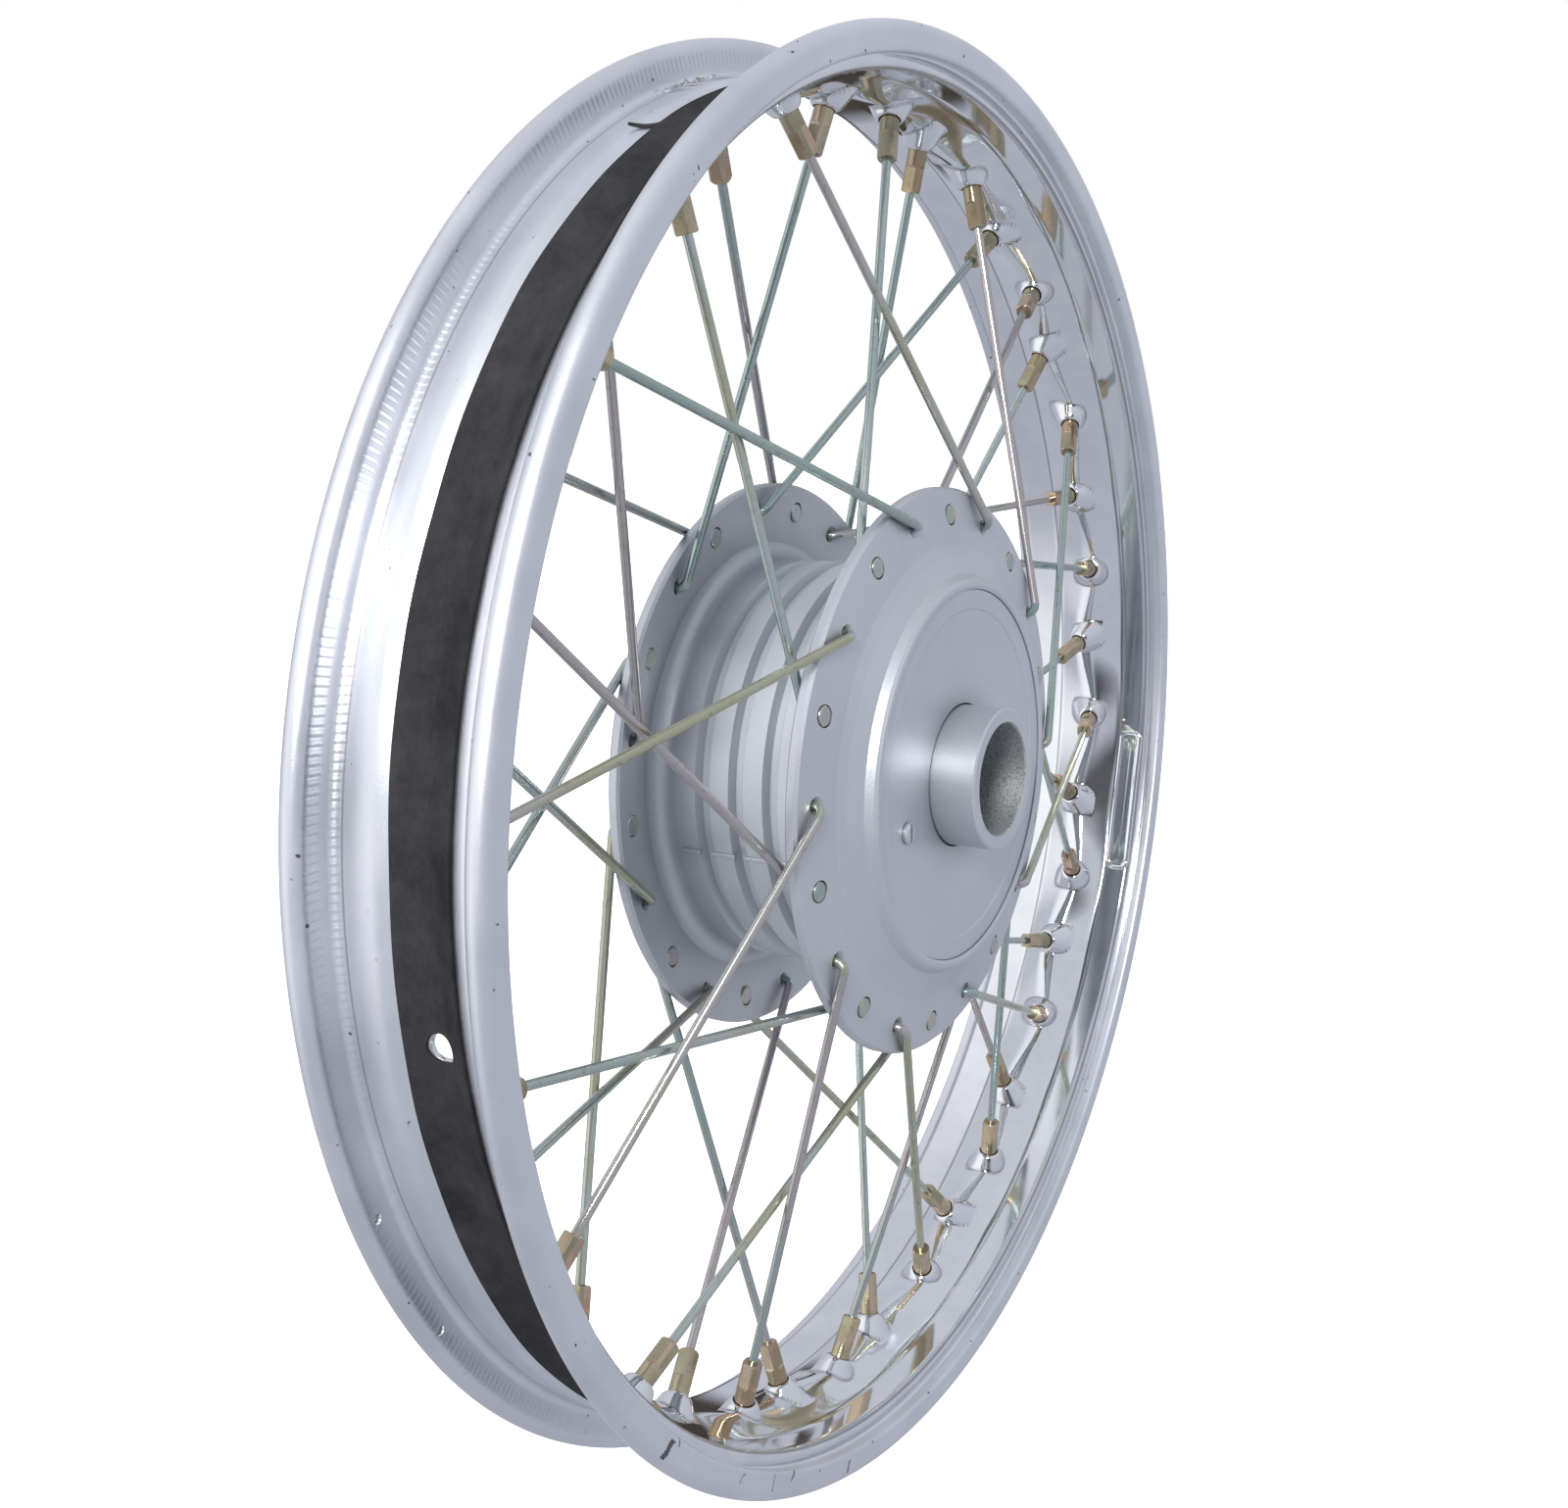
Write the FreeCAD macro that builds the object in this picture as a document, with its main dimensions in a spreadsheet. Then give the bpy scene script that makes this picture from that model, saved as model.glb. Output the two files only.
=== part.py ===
import FreeCAD, Part
import math
import os

import Sketcher
from FreeCAD import Placement, Rotation, Vector

# Spoked motorcycle wheel, in millimetres. The origin is the wheel's centre, the axle lies along Y, -Y is the side
# with the bearing sleeve and +Z is up. Angles run about Y, from +Z towards +X.

SIZES = {
    # rim, 19 inch with a 2.15 inch seat width
    "rim_radius": 254.5,
    "rim_half_width": 35.45,
    "seat_radius": 241.3,
    "seat_half_width": 27.3,
    "seat_fillet": 2.5,
    "sheet": 2.0,
    "curl_height": 10.5,
    "hem_lip": 4.15,
    "hem_fillet": 1.5,
    "well_centre": -2.0,
    "well_half_width": 15.0,
    "well_floor": 235.0,
    "well_flat": 2.5,
    "well_crease": 1.0,
    "valve_hole_radius": 4.3,
    "valve_angle": 260.44,
    "flange_hole_radius": 1.5,
    "flange_hole_drop": 6.0,
    # rim tape
    "tape_half_width": 10.5,
    "tape_thickness": 1.0,
    "tape_gap": 0.3,
    "tape_hole_play": 1.0,
    # spokes and nipples
    "spokes_per_set": 10,
    "wire_radius": 1.6,
    "head_radius": 3.5,
    "head_proud": 0.4,
    "head_rounding": 0.4,
    "spot_radius": 3.8,
    "spot_depth": 1.0,
    "bend_radius": 3.4,
    "outer_stand": 3.5,
    "inner_stand": 2.8,
    "nipple_base_radius": 229.6,
    "nipple_length": 15.5,
    "nipple_radius": 3.6,
    "nipple_flats": 6.1,
    "nipple_collar": 5.5,
    "nipple_chamfer": 0.5,
    "flat_runout": 0.8,
    "nipple_bore": 1.65,
    "nipple_head_radius": 4.2,
    "nipple_head_height": 2.2,
    "nipple_stagger": 3.15,
    "dome_tip_radius": 5.0,
    "dome_foot_radius": 9.0,
    "dome_depth": 8.0,
    "dome_wall": 1.4,
    "nipple_clearance": 0.25,
    # cuts: how far one runs past the face it opens, and how long a drilling is
    "overrun": 1.0,
    "drill": 20.0,
    # hub shell
    "flange_radius": 102.0,
    "flange_thickness": 4.5,
    "flange_slope": 0.172,
    "flange_edge": 1.0,
    "hole_circle": 92.2,
    "spoke_hole_radius": 1.9,
    "countersink": 1.2,
    "near_face": -36.65,
    "far_inner_face": 34.6,
    "drum_radius": 74.0,
    "groove_depth": 2.7,
    "groove_pitch": 13.4,
    "groove_half_width": 3.0,
    "groove_floor": 1.35,
    "groove_middle": -2.1,
    "root_radius": 6.0,
    "ring_crest": -47.3,
    "ring_foot": 8.0,
    "ring_width": 3.6,
    "ring_rounding": 1.2,
    "cover_radius": 66.6,
    "cover_face": -46.2,
    "cover_thickness": 2.4,
    "cover_ledge": 5.0,
    "cover_play": 0.2,
    "cover_border": 7.0,
    "cover_step": 0.4,
    "cover_dish": 1.8,
    "sleeve_gap": 0.6,
    "recess_floor": -37.0,
    "mouth_face": 43.0,
    "mouth_radius": 76.0,
    "mouth_chamfer": 1.5,
    "liner_inner": 62.5,
    "liner_outer": 66.5,
    "liner_floor_gap": 4.0,
    "liner_lip": 1.0,
    "drum_floor": -31.0,
    "boss_radius": 29.0,
    "boss_end": 31.5,
    # sleeve, bearings 17 x 40 x 12 and what holds them
    "sleeve_radius": 25.3,
    "sleeve_end": -61.2,
    "sleeve_foot": -20.0,
    "sleeve_chamfer": 0.6,
    "bearing_radius": 20.0,
    "bearing_width": 12.0,
    "bearing_bore": 8.5,
    "bearing_chamfer": 0.5,
    "near_bearing": -30.0,
    "far_bearing": 22.0,
    "shoulder_radius": 17.5,
    "ball_pitch": 14.25,
    "ball_radius": 3.37,
    "race_radius": 3.5,
    "balls": 8,
    "shield_inset": 0.4,
    "shield_thickness": 0.5,
    "shield_bore": 12.5,
    "inner_shoulder": 12.2,
    "outer_shoulder": 16.4,
    "cage_inner": 13.1,
    "cage_outer": 15.4,
    "cage_half_width": 4.2,
    "pocket_radius": 3.55,
    "ring_thickness": 1.75,
    "ring_depth": 1.25,
    "ring_inner": 17.6,
    "ring_play": 0.1,
    "ring_gap": 6.0,
    "tube_radius": 11.5,
    # cover screw
    "screw_circle": 46.0,
    "screw_angle": 254.0,
    "screw_radius": 2.5,
    "screw_seat": 0.7,
    "screw_chamfer": 0.8,
    "thread_play": 0.05,
    "screw_head_radius": 3.6,
    "screw_head_height": 1.7,
    "screw_length": 8.0,
    "screw_play": 0.2,
    "slot_width": 1.0,
    "slot_depth": 0.9,
    "screw_boss": 5.5,
    "screw_boss_gap": 1.2,
}

# The first hole of each flange and the first nipple of each ring. The rim sits turned against the hub by the last
# turns of truing.
NEAR_HOLE = 2.84
FAR_HOLE = 11.74
NEAR_NIPPLE = 3.94
FAR_NIPPLE = 12.94
HOLE_STEP = 18.0
LACE = 36.0
FLANGE_HOLES = (247.3, 235.4)

doc = FreeCAD.newDocument("spoked_wheel")
sheet = doc.addObject("Spreadsheet::Sheet", "sizes")
for row, (alias, number) in enumerate(SIZES.items(), start=1):
    sheet.set(f"A{row}", alias)
    sheet.set(f"B{row}", str(number))
    sheet.setAlias(f"B{row}", alias)
doc.recompute()
parts = []


def cell(words):
    """An expression in which every alias of the sheet is looked up in it."""
    out = ""
    word = ""
    for letter in words + " ":
        if letter.isalnum() or letter == "_":
            word += letter
            continue
        out += f"sizes.{word}" if word in SIZES else word
        out += letter
        word = ""
    return out.strip()


def value(words):
    """The number that an expression of the sheet's aliases has."""
    return float(sheet.evalExpression(cell(words)))


def bind(thing, **settings):
    """Set properties of an object to expressions of the sheet's aliases."""
    for name, words in settings.items():
        thing.setExpression(name, cell(words))


def new_body(label):
    """A body for one sub-part, which may hold several separate solids."""
    body = doc.addObject("PartDesign::Body", label)
    body.Label = label
    body.AllowCompound = True
    parts.append(body)
    return body


def plane_of(body, role):
    return next(f for f in body.Origin.OriginFeatures if f.Role == role)


def new_sketch(body, name, place=None):
    """A sketch on the body's XY plane, or moved from it to a placement."""
    sketch = body.newObject("Sketcher::SketchObject", name)
    sketch.AttachmentSupport = [(plane_of(body, "XY_Plane"), "")]
    sketch.MapMode = "FlatFace"
    if place is not None:
        sketch.AttachmentOffset = place
    return sketch


def outline(sketch, corners):
    """A closed outline. A corner is (x, y), or (x, y, centre x, centre y, way) when an arc leads on from it."""
    spots = [Vector(value(c[0]), value(c[1]), 0) for c in corners]
    count = len(corners)
    edges = []
    for i, corner in enumerate(corners):
        here, there = spots[i], spots[(i + 1) % count]
        if len(corner) == 2:
            edges.append(sketch.addGeometry(Part.LineSegment(here, there), False))
            continue
        centre = Vector(value(corner[2]), value(corner[3]), 0)
        radius = (here - centre).Length
        start = math.atan2(here.y - centre.y, here.x - centre.x)
        end = math.atan2(there.y - centre.y, there.x - centre.x)
        if corner[4] == "right":
            start, end = end, start
        circle = Part.Circle(centre, Vector(0, 0, 1), radius)
        edges.append(sketch.addGeometry(Part.ArcOfCircle(circle, start, end), False))
    for i, corner in enumerate(corners):
        turned = len(corner) == 5 and corner[4] == "right"
        before = corners[i - 1]
        turned_before = len(before) == 5 and before[4] == "right"
        end_before = 1 if turned_before else 2
        start_here = 2 if turned else 1
        sketch.addConstraint(Sketcher.Constraint("Coincident", edges[i - 1], end_before, edges[i], start_here))
        for kind, words in (("DistanceX", corner[0]), ("DistanceY", corner[1])):
            number = sketch.addConstraint(
                Sketcher.Constraint(kind, -1, 1, edges[i], start_here, value(words)))
            sketch.setExpression(f"Constraints[{number}]", cell(words))
        if len(corner) == 5:
            number = sketch.addConstraint(
                Sketcher.Constraint("Radius", edges[i], (spots[i] - Vector(
                    value(corner[2]), value(corner[3]), 0)).Length))
            sketch.setExpression(
                f"Constraints[{number}]",
                cell(f"sqrt(({corner[0]} - ({corner[2]}))^2 + ({corner[1]} - ({corner[3]}))^2)"))


def turned(body, name, corners, place=None, cut=False, axis="V_Axis"):
    """Turn an outline about the sketch's own vertical axis, adding to the body or cutting it."""
    sketch = new_sketch(body, name + "_outline", place)
    outline(sketch, corners)
    kind = "PartDesign::Groove" if cut else "PartDesign::Revolution"
    feature = body.newObject(kind, name)
    feature.Profile = sketch
    feature.ReferenceAxis = (sketch, [axis])
    feature.Angle = 360
    return feature


def sphere(body, kind, name, radius, place):
    """A ball that is added to the body or taken out of it."""
    feature = body.newObject(kind, name)
    feature.AttachmentSupport = [(plane_of(body, "XY_Plane"), "")]
    feature.MapMode = "FlatFace"
    feature.AttachmentOffset = place
    bind(feature, Radius=radius)
    return feature


def spun(body, name, features, count):
    """Repeat features round the wheel's axle."""
    pattern = body.newObject("PartDesign::PolarPattern", name)
    pattern.Originals = features
    pattern.Axis = (plane_of(body, "Y_Axis"), [""])
    pattern.Angle = 360
    bind(pattern, Occurrences=count)
    body.Tip = pattern
    return pattern


def mirrored(corners):
    """An outline's corners in the other order on the other side of y = 0, with their arcs."""
    out = []
    for i in range(len(corners) - 1, -1, -1):
        spot = (corners[i][0], f"-({corners[i][1]})")
        if i > 0 and len(corners[i - 1]) == 5:
            centre_x, centre_y, way = corners[i - 1][2:]
            spot += (centre_x, f"-({centre_y})", way)
        out.append(spot)
    return out


def direction(angle):
    """The unit vector square to the axle at an angle from +Z towards +X."""
    turn = math.radians(angle)
    return Vector(math.sin(turn), 0, math.cos(turn))


def rim_point(radius, y, angle):
    return direction(angle) * radius + Vector(0, y, 0)


def aimed(origin, along, side):
    """A placement whose local Y runs along a line and whose local X leans to one side."""
    y_axis = Vector(along).normalize()
    z_axis = Vector(side).cross(y_axis).normalize()
    x_axis = y_axis.cross(z_axis)
    return Placement(origin, Rotation(x_axis, y_axis, z_axis, "ZXY"))


class SpokeSet:
    """One set of ten spokes: where its wires leave the flange and where they meet the rim."""

    def __init__(self, name, near, outside, hole, nipple):
        self.name = name
        faces = ("near_face", "near_face + flange_thickness")
        if not near:
            faces = ("far_inner_face + flange_thickness", "far_inner_face")
        outer, inner = faces
        self.bend_face, self.head_face = (outer, inner) if outside else (inner, outer)
        self.way = 1 if value(self.bend_face) > value(self.head_face) else -1
        self.foot = rim_point(value("hole_circle"), 0, hole)
        stagger = -value("nipple_stagger") if near else value("nipple_stagger")
        self.seat = rim_point(value("nipple_base_radius"), value("well_centre") + stagger, nipple)
        self.stand = "outer_stand" if outside else "inner_stand"
        corner = self.foot + Vector(0, value(self.bent(self.stand)), 0)
        self.run = (self.seat - corner).normalize()
        self.corner = corner

    def bent(self, words):
        """A distance beyond the face that the wire bends over."""
        return f"{self.bend_face} + ({self.way})*({words})"

    def sunk(self, words):
        """A distance into the flange from the face that the head lies on."""
        return f"{self.head_face} + ({self.way})*({words})"

    def nipple_place(self):
        """Origin at the tip of the rim's dome, local Y along the wire, outwards."""
        return aimed(self.seat, self.run, Vector(0, 1, 0))

    def hole_place(self):
        """Origin on the flange hole's axis at mid-wheel, local Y the axle's."""
        return aimed(self.foot, Vector(0, 1, 0), self.run)


SETS = (
    SpokeSet("near_outer", True, True, NEAR_HOLE + HOLE_STEP, NEAR_NIPPLE + HOLE_STEP - LACE),
    SpokeSet("near_inner", True, False, NEAR_HOLE, NEAR_NIPPLE + LACE),
    SpokeSet("far_outer", False, True, FAR_HOLE, FAR_NIPPLE - LACE),
    SpokeSet("far_inner", False, False, FAR_HOLE + HOLE_STEP, FAR_NIPPLE + HOLE_STEP + LACE),
)


def make_rim():
    """Rolled sheet: hemmed flange edges, bead seats, shallow well, domed dimples and their holes."""
    body = new_body("rim")
    curl = "(rim_half_width - seat_half_width)/2"
    middle = "(rim_half_width + seat_half_width)/2"
    hem = "rim_radius - curl_height"
    under = "seat_radius - sheet"
    top = f"rim_radius - {curl}"
    flat_end = "seat_half_width - seat_fillet"
    flange = [
        ("seat_radius", flat_end, "seat_radius + seat_fillet", flat_end, "right"),
        ("seat_radius + seat_fillet", "seat_half_width"),
        (top, "seat_half_width", top, middle, "left"),
        ("rim_radius", middle, top, middle, "left"),
        (top, "rim_half_width"),
        (f"{hem} + hem_fillet", "rim_half_width", f"{hem} + hem_fillet", "rim_half_width - hem_fillet", "left"),
        (hem, "rim_half_width - hem_fillet"),
        (hem, "rim_half_width - hem_lip"),
        (f"{hem} + sheet", "rim_half_width - hem_lip"),
        (f"{hem} + sheet", "rim_half_width - sheet"),
        (top, "rim_half_width - sheet", top, middle, "right"),
        (f"{top} + {curl} - sheet", middle, top, middle, "right"),
        (top, "seat_half_width + sheet"),
        ("seat_radius + seat_fillet", "seat_half_width + sheet", "seat_radius + seat_fillet", flat_end, "left"),
        (under, flat_end),
    ]
    corners = (
        flange
        + [(under, "well_centre + well_half_width"),
           ("well_floor - sheet", "well_centre + well_flat"),
           ("well_floor - sheet", "well_centre - well_flat"),
           (under, "well_centre - well_half_width")]
        + mirrored(flange)
        + [("seat_radius", "well_centre - well_half_width + well_crease"),
           ("well_floor", "well_centre - well_flat"),
           ("well_floor", "well_centre + well_flat"),
           ("seat_radius", "well_centre + well_half_width - well_crease")]
    )
    turned(body, "section", corners)

    for spokes in SETS:
        dome = turned(body, f"{spokes.name}_dome", [
            ("0", "0"), ("dome_tip_radius", "0"), ("dome_foot_radius", "dome_depth"), ("0", "dome_depth")],
            spokes.nipple_place())
        spun(body, f"{spokes.name}_domes", [dome], "spokes_per_set")
    turned(body, "channel", [
        ("well_floor", "well_centre - well_flat"), ("well_floor", "well_centre + well_flat"),
        ("seat_radius", "well_centre + well_half_width - well_crease"),
        ("seat_radius + dome_depth", "well_centre + well_half_width"),
        ("seat_radius + dome_depth", "well_centre - well_half_width"),
        ("seat_radius", "well_centre - well_half_width + well_crease")], cut=True)
    for spokes in SETS:
        bore = "nipple_radius + nipple_clearance"
        recess = "nipple_head_radius + nipple_clearance"
        hole = turned(body, f"{spokes.name}_hole", [
            ("0", "-overrun"), (bore, "-overrun"), (bore, "dome_wall"), (recess, "dome_wall"),
            ("dome_foot_radius - dome_wall", "dome_depth + overrun"), ("0", "dome_depth + overrun")],
            spokes.nipple_place(), cut=True)
        spun(body, f"{spokes.name}_holes", [hole], "spokes_per_set")

    angle = value("valve_angle")
    turned(body, "valve_hole", rod("valve_hole_radius", "0", "drill"), aimed(
        rim_point(value("well_floor - drill/2"), value("well_centre"), angle), direction(angle), Vector(0, 1, 0)),
        cut=True)
    for number, angle in enumerate(FLANGE_HOLES):
        turned(body, f"flange_hole_{number}", rod("flange_hole_radius", "0", "drill/2"), aimed(
            rim_point(value("rim_radius - flange_hole_drop"), value("seat_half_width - 2*sheet"), angle),
            Vector(0, 1, 0), direction(angle)), cut=True)


def make_tape():
    """Rubber band that lies in the well, with its hole for the valve."""
    body = new_body("rim_tape")
    slope = "(seat_radius - well_floor)/(well_half_width - well_crease - well_flat)"
    rise = f"{slope}*(tape_half_width - well_flat)"
    low = "well_floor + tape_gap"
    high = "well_floor + tape_gap + tape_thickness"
    turned(body, "band", [
        (low, "well_centre - well_flat"), (low, "well_centre + well_flat"),
        (f"{low} + {rise}", "well_centre + tape_half_width"), (f"{high} + {rise}", "well_centre + tape_half_width"),
        (high, "well_centre + well_flat"), (high, "well_centre - well_flat"),
        (f"{high} + {rise}", "well_centre - tape_half_width"),
        (f"{low} + {rise}", "well_centre - tape_half_width")])
    angle = value("valve_angle")
    turned(body, "valve_hole", rod("valve_hole_radius + tape_hole_play", "0", "drill"), aimed(
        rim_point(value("well_floor - drill/2"), value("well_centre"), angle), direction(angle), Vector(0, 1, 0)),
        cut=True)


def make_spokes(spokes):
    """Ten bent wires with their heads."""
    body = new_body(f"spokes_{spokes.name}")
    proud = "-head_proud"
    head = turned(body, "head", [
        ("0", spokes.sunk(proud)), ("head_radius - head_rounding", spokes.sunk(proud)),
        ("head_radius", spokes.sunk(f"{proud} + head_rounding")), ("head_radius", spokes.sunk("spot_depth")),
        ("0", spokes.sunk("spot_depth"))], spokes.hole_place())

    flat = Vector(spokes.run.x, 0, spokes.run.z)
    length = (spokes.seat - spokes.corner).Length + value("dome_wall")
    turn = math.acos(spokes.run.y * spokes.way)
    tangent = value("bend_radius") * math.tan(turn / 2)
    start = value(spokes.head_face)
    corner = Vector(0, spokes.corner.y, 0)
    run = Vector(flat.Length, spokes.run.y, 0)
    path = new_sketch(body, "path", aimed(spokes.foot, Vector(0, 1, 0), flat))
    stem = path.addGeometry(Part.LineSegment(Vector(0, start, 0), corner - Vector(0, spokes.way * tangent, 0)))
    wire = path.addGeometry(Part.LineSegment(corner + run * tangent, corner + run * length))
    centre = corner + Vector(value("bend_radius"), -spokes.way * tangent, 0)
    ends = [math.pi, math.atan2((corner + run * tangent - centre).y, (corner + run * tangent - centre).x)]
    if spokes.way > 0:
        ends.reverse()
    arc = Part.Circle(centre, Vector(0, 0, 1), value("bend_radius"))
    bend = path.addGeometry(Part.ArcOfCircle(arc, *ends))
    first, last = (2, 1) if spokes.way > 0 else (1, 2)
    path.addConstraint(Sketcher.Constraint("Tangent", stem, 2, bend, first))
    path.addConstraint(Sketcher.Constraint("Tangent", bend, last, wire, 1))
    path.addConstraint(Sketcher.Constraint("PointOnObject", stem, 1, -2))
    path.addConstraint(Sketcher.Constraint("Vertical", stem))
    for kind, spot, words in (
            ("Radius", (bend,), "bend_radius"),
            ("DistanceY", (-1, 1, stem, 1), spokes.head_face)):
        number = path.addConstraint(Sketcher.Constraint(kind, *spot, value(words)))
        path.setExpression(f"Constraints[{number}]", cell(words))

    section = new_sketch(body, "wire_section", aimed(
        spokes.foot + Vector(0, start, 0), flat, Vector(0, 1, 0).cross(flat)))
    ring = section.addGeometry(Part.Circle(Vector(0, 0, 0), Vector(0, 0, 1), value("wire_radius")))
    section.addConstraint(Sketcher.Constraint("Coincident", ring, 3, -1, 1))
    number = section.addConstraint(Sketcher.Constraint("Radius", ring, value("wire_radius")))
    section.setExpression(f"Constraints[{number}]", cell("wire_radius"))
    wire_pipe = body.newObject("PartDesign::AdditivePipe", "wire")
    wire_pipe.Profile = section
    wire_pipe.Spine = (path, ["Edge1", "Edge3", "Edge2"])
    spun(body, "ring_of_spokes", [head, wire_pipe], "spokes_per_set")


def rod(radius, low, high):
    """The outline of a plain round bar along the sketch's vertical axis."""
    return [("0", low), (radius, low), (radius, high), ("0", high)]


def tube(inner, outer, low, high):
    """The outline of a plain ring about the sketch's vertical axis."""
    return [(inner, low), (outer, low), (outer, high), (inner, high)]


def make_nipples(spokes):
    """Ten nipples: a round shank with four flats, a head inside the rim and a bore for the wire."""
    body = new_body(f"nipples_{spokes.name}")
    place = spokes.nipple_place()
    tip = "-nipple_length"
    shank = turned(body, "shank", [
        ("nipple_bore", tip), ("nipple_radius - nipple_chamfer", tip), ("nipple_radius", f"{tip} + nipple_chamfer"),
        ("nipple_radius", "dome_wall"), ("nipple_head_radius", "dome_wall"),
        ("nipple_head_radius", "dome_wall + nipple_head_height"),
        ("nipple_bore", "dome_wall + nipple_head_height")], place)
    features = [shank]
    for number in range(4):
        turned_place = place.multiply(Placement(Vector(), Rotation(Vector(0, 1, 0), 90 * number)))
        sketch = new_sketch(body, f"flat_outline_{number}", turned_place)
        outline(sketch, [
            ("nipple_flats/2", f"{tip} - overrun"), ("nipple_radius + overrun", f"{tip} - overrun"),
            ("nipple_radius + overrun", "-nipple_collar"), ("nipple_flats/2 + flat_runout/2", "-nipple_collar"),
            ("nipple_flats/2", "-nipple_collar - flat_runout")])
        flat = body.newObject("PartDesign::Pocket", f"flat_{number}")
        flat.Profile = sketch
        flat.Midplane = True
        bind(flat, Length="nipple_radius*4")
        features.append(flat)
    spun(body, "ring_of_nipples", features, "spokes_per_set")


def near_cone(radius):
    """The y of the near flange's outer face at a radius: the face leans inwards, along the wires."""
    return f"near_face + flange_slope*({radius} - hole_circle)"


def far_cone(radius):
    """The y of the far flange's inner face at a radius."""
    return f"far_inner_face - flange_slope*({radius} - hole_circle)"


def make_hub():
    """Casting: two drilled flanges, the ribbed drum, the raised ring of the near face and the bearing boss."""
    body = new_body("hub_shell")
    root = "drum_radius + root_radius"
    thick = "flange_thickness"
    edge = "flange_radius - flange_edge"
    near_in = f"{near_cone(root)} + {thick}"
    near_out = "drum_radius + ring_foot"
    ring = "cover_radius + ring_width"
    grooves = []
    for place in (1.5, 0.5, -0.5, -1.5):
        middle = f"groove_middle + groove_pitch*({place})"
        grooves += [
            ("drum_radius", f"{middle} + groove_half_width"),
            ("drum_radius - groove_depth", f"{middle} + groove_floor"),
            ("drum_radius - groove_depth", f"{middle} - groove_floor"),
            ("drum_radius", f"{middle} - groove_half_width")]
    far_bore = "far_bearing - bearing_width/2"
    far_ring = "far_bearing + bearing_width/2"
    corners = [
        ("liner_outer", "mouth_face"), ("mouth_radius - mouth_chamfer", "mouth_face"),
        ("mouth_radius", "mouth_face - mouth_chamfer"),
        ("mouth_radius", f"{far_cone('mouth_radius')} + {thick} + mouth_chamfer"),
        ("mouth_radius + mouth_chamfer", f"{far_cone('mouth_radius + mouth_chamfer')} + {thick}"),
        (edge, f"{far_cone(edge)} + {thick}"),
        ("flange_radius", f"{far_cone('flange_radius')} + {thick} - flange_edge"),
        ("flange_radius", f"{far_cone('flange_radius')} + flange_edge"),
        (edge, far_cone(edge)),
        (root, far_cone(root), root, f"{far_cone(root)} - root_radius", "left"),
        ("drum_radius", f"{far_cone(root)} - root_radius")]
    corners += grooves
    corners += [
        ("drum_radius", f"{near_in} + root_radius", root, f"{near_in} + root_radius", "left"),
        (root, near_in),
        (edge, f"{near_cone(edge)} + {thick}"),
        ("flange_radius", f"{near_cone('flange_radius')} + {thick} - flange_edge"),
        ("flange_radius", f"{near_cone('flange_radius')} + flange_edge"),
        (edge, near_cone(edge)),
        (near_out, near_cone(near_out)),
        (f"{near_out} - ring_foot/2", f"{near_cone(near_out)} - ring_foot/5"),
        (f"{ring} + ring_rounding*1.3", "ring_crest + ring_rounding*3.3"),
        (ring, "ring_crest + ring_rounding"),
        (f"{ring} - ring_rounding*0.8", "ring_crest + ring_rounding/6"),
        ("cover_radius + ring_rounding", "ring_crest"), ("cover_radius", "ring_crest + ring_rounding/2"),
        ("cover_radius", "cover_face + cover_thickness"),
        ("cover_radius - cover_ledge", "cover_face + cover_thickness"),
        ("cover_radius - cover_ledge", "recess_floor"),
        ("sleeve_radius", "recess_floor"), ("sleeve_radius", "sleeve_foot"), ("shoulder_radius", "sleeve_foot"),
        ("shoulder_radius", far_bore), ("bearing_radius", far_bore), ("bearing_radius", far_ring),
        ("bearing_radius + ring_depth", far_ring), ("bearing_radius + ring_depth", f"{far_ring} + ring_thickness"),
        ("bearing_radius", f"{far_ring} + ring_thickness"), ("bearing_radius", "boss_end"),
        ("boss_radius", "boss_end"), ("boss_radius", "drum_floor"), ("liner_outer", "drum_floor")]
    turned(body, "casting", corners)

    screw = aimed(rim_point(value("screw_circle"), 0, value("screw_angle")), Vector(0, 1, 0), Vector(1, 0, 0))
    turned(body, "screw_boss", rod(
        "screw_boss", "cover_face + cover_thickness + screw_boss_gap", "recess_floor + overrun"), screw)
    turned(body, "screw_hole", rod(
        "screw_radius", "cover_face", "cover_face + screw_length + overrun"), screw, cut=True)
    for spokes in SETS:
        hole = turned(body, f"{spokes.name}_hole", [
            ("0", spokes.sunk("-flange_thickness")), ("spot_radius", spokes.sunk("-flange_thickness")),
            ("spot_radius", spokes.sunk("spot_depth")), ("spoke_hole_radius", spokes.sunk("spot_depth")),
            ("spoke_hole_radius", spokes.bent("-countersink")),
            ("spoke_hole_radius + 2*countersink", spokes.bent("countersink")),
            ("0", spokes.bent("countersink"))], spokes.hole_place(), cut=True)
        spun(body, f"{spokes.name}_holes", [hole], "spokes_per_set")


def make_cover():
    """Slightly dished disc, let into the ring of the near face round the sleeve."""
    body = new_body("hub_cover_disc")
    gap = "sleeve_radius + sleeve_gap"
    rim = "cover_radius - cover_play"
    step = "cover_radius - cover_border"
    back = "cover_face + cover_thickness"
    turned(body, "disc", [
        (rim, "cover_face"), (step, "cover_face"), (f"{step} - cover_step", "cover_face + cover_step"),
        (gap, "cover_face + cover_dish"), (gap, f"{back} + cover_dish"),
        (step, f"{back} + cover_step"), (f"{step} + cover_dish", back), (rim, back)])
    turned(body, "screw_hole", rod("screw_radius + screw_play", "cover_face - overrun", "recess_floor"), aimed(
        rim_point(value("screw_circle"), 0, value("screw_angle")), Vector(0, 1, 0), Vector(1, 0, 0)), cut=True)


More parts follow.
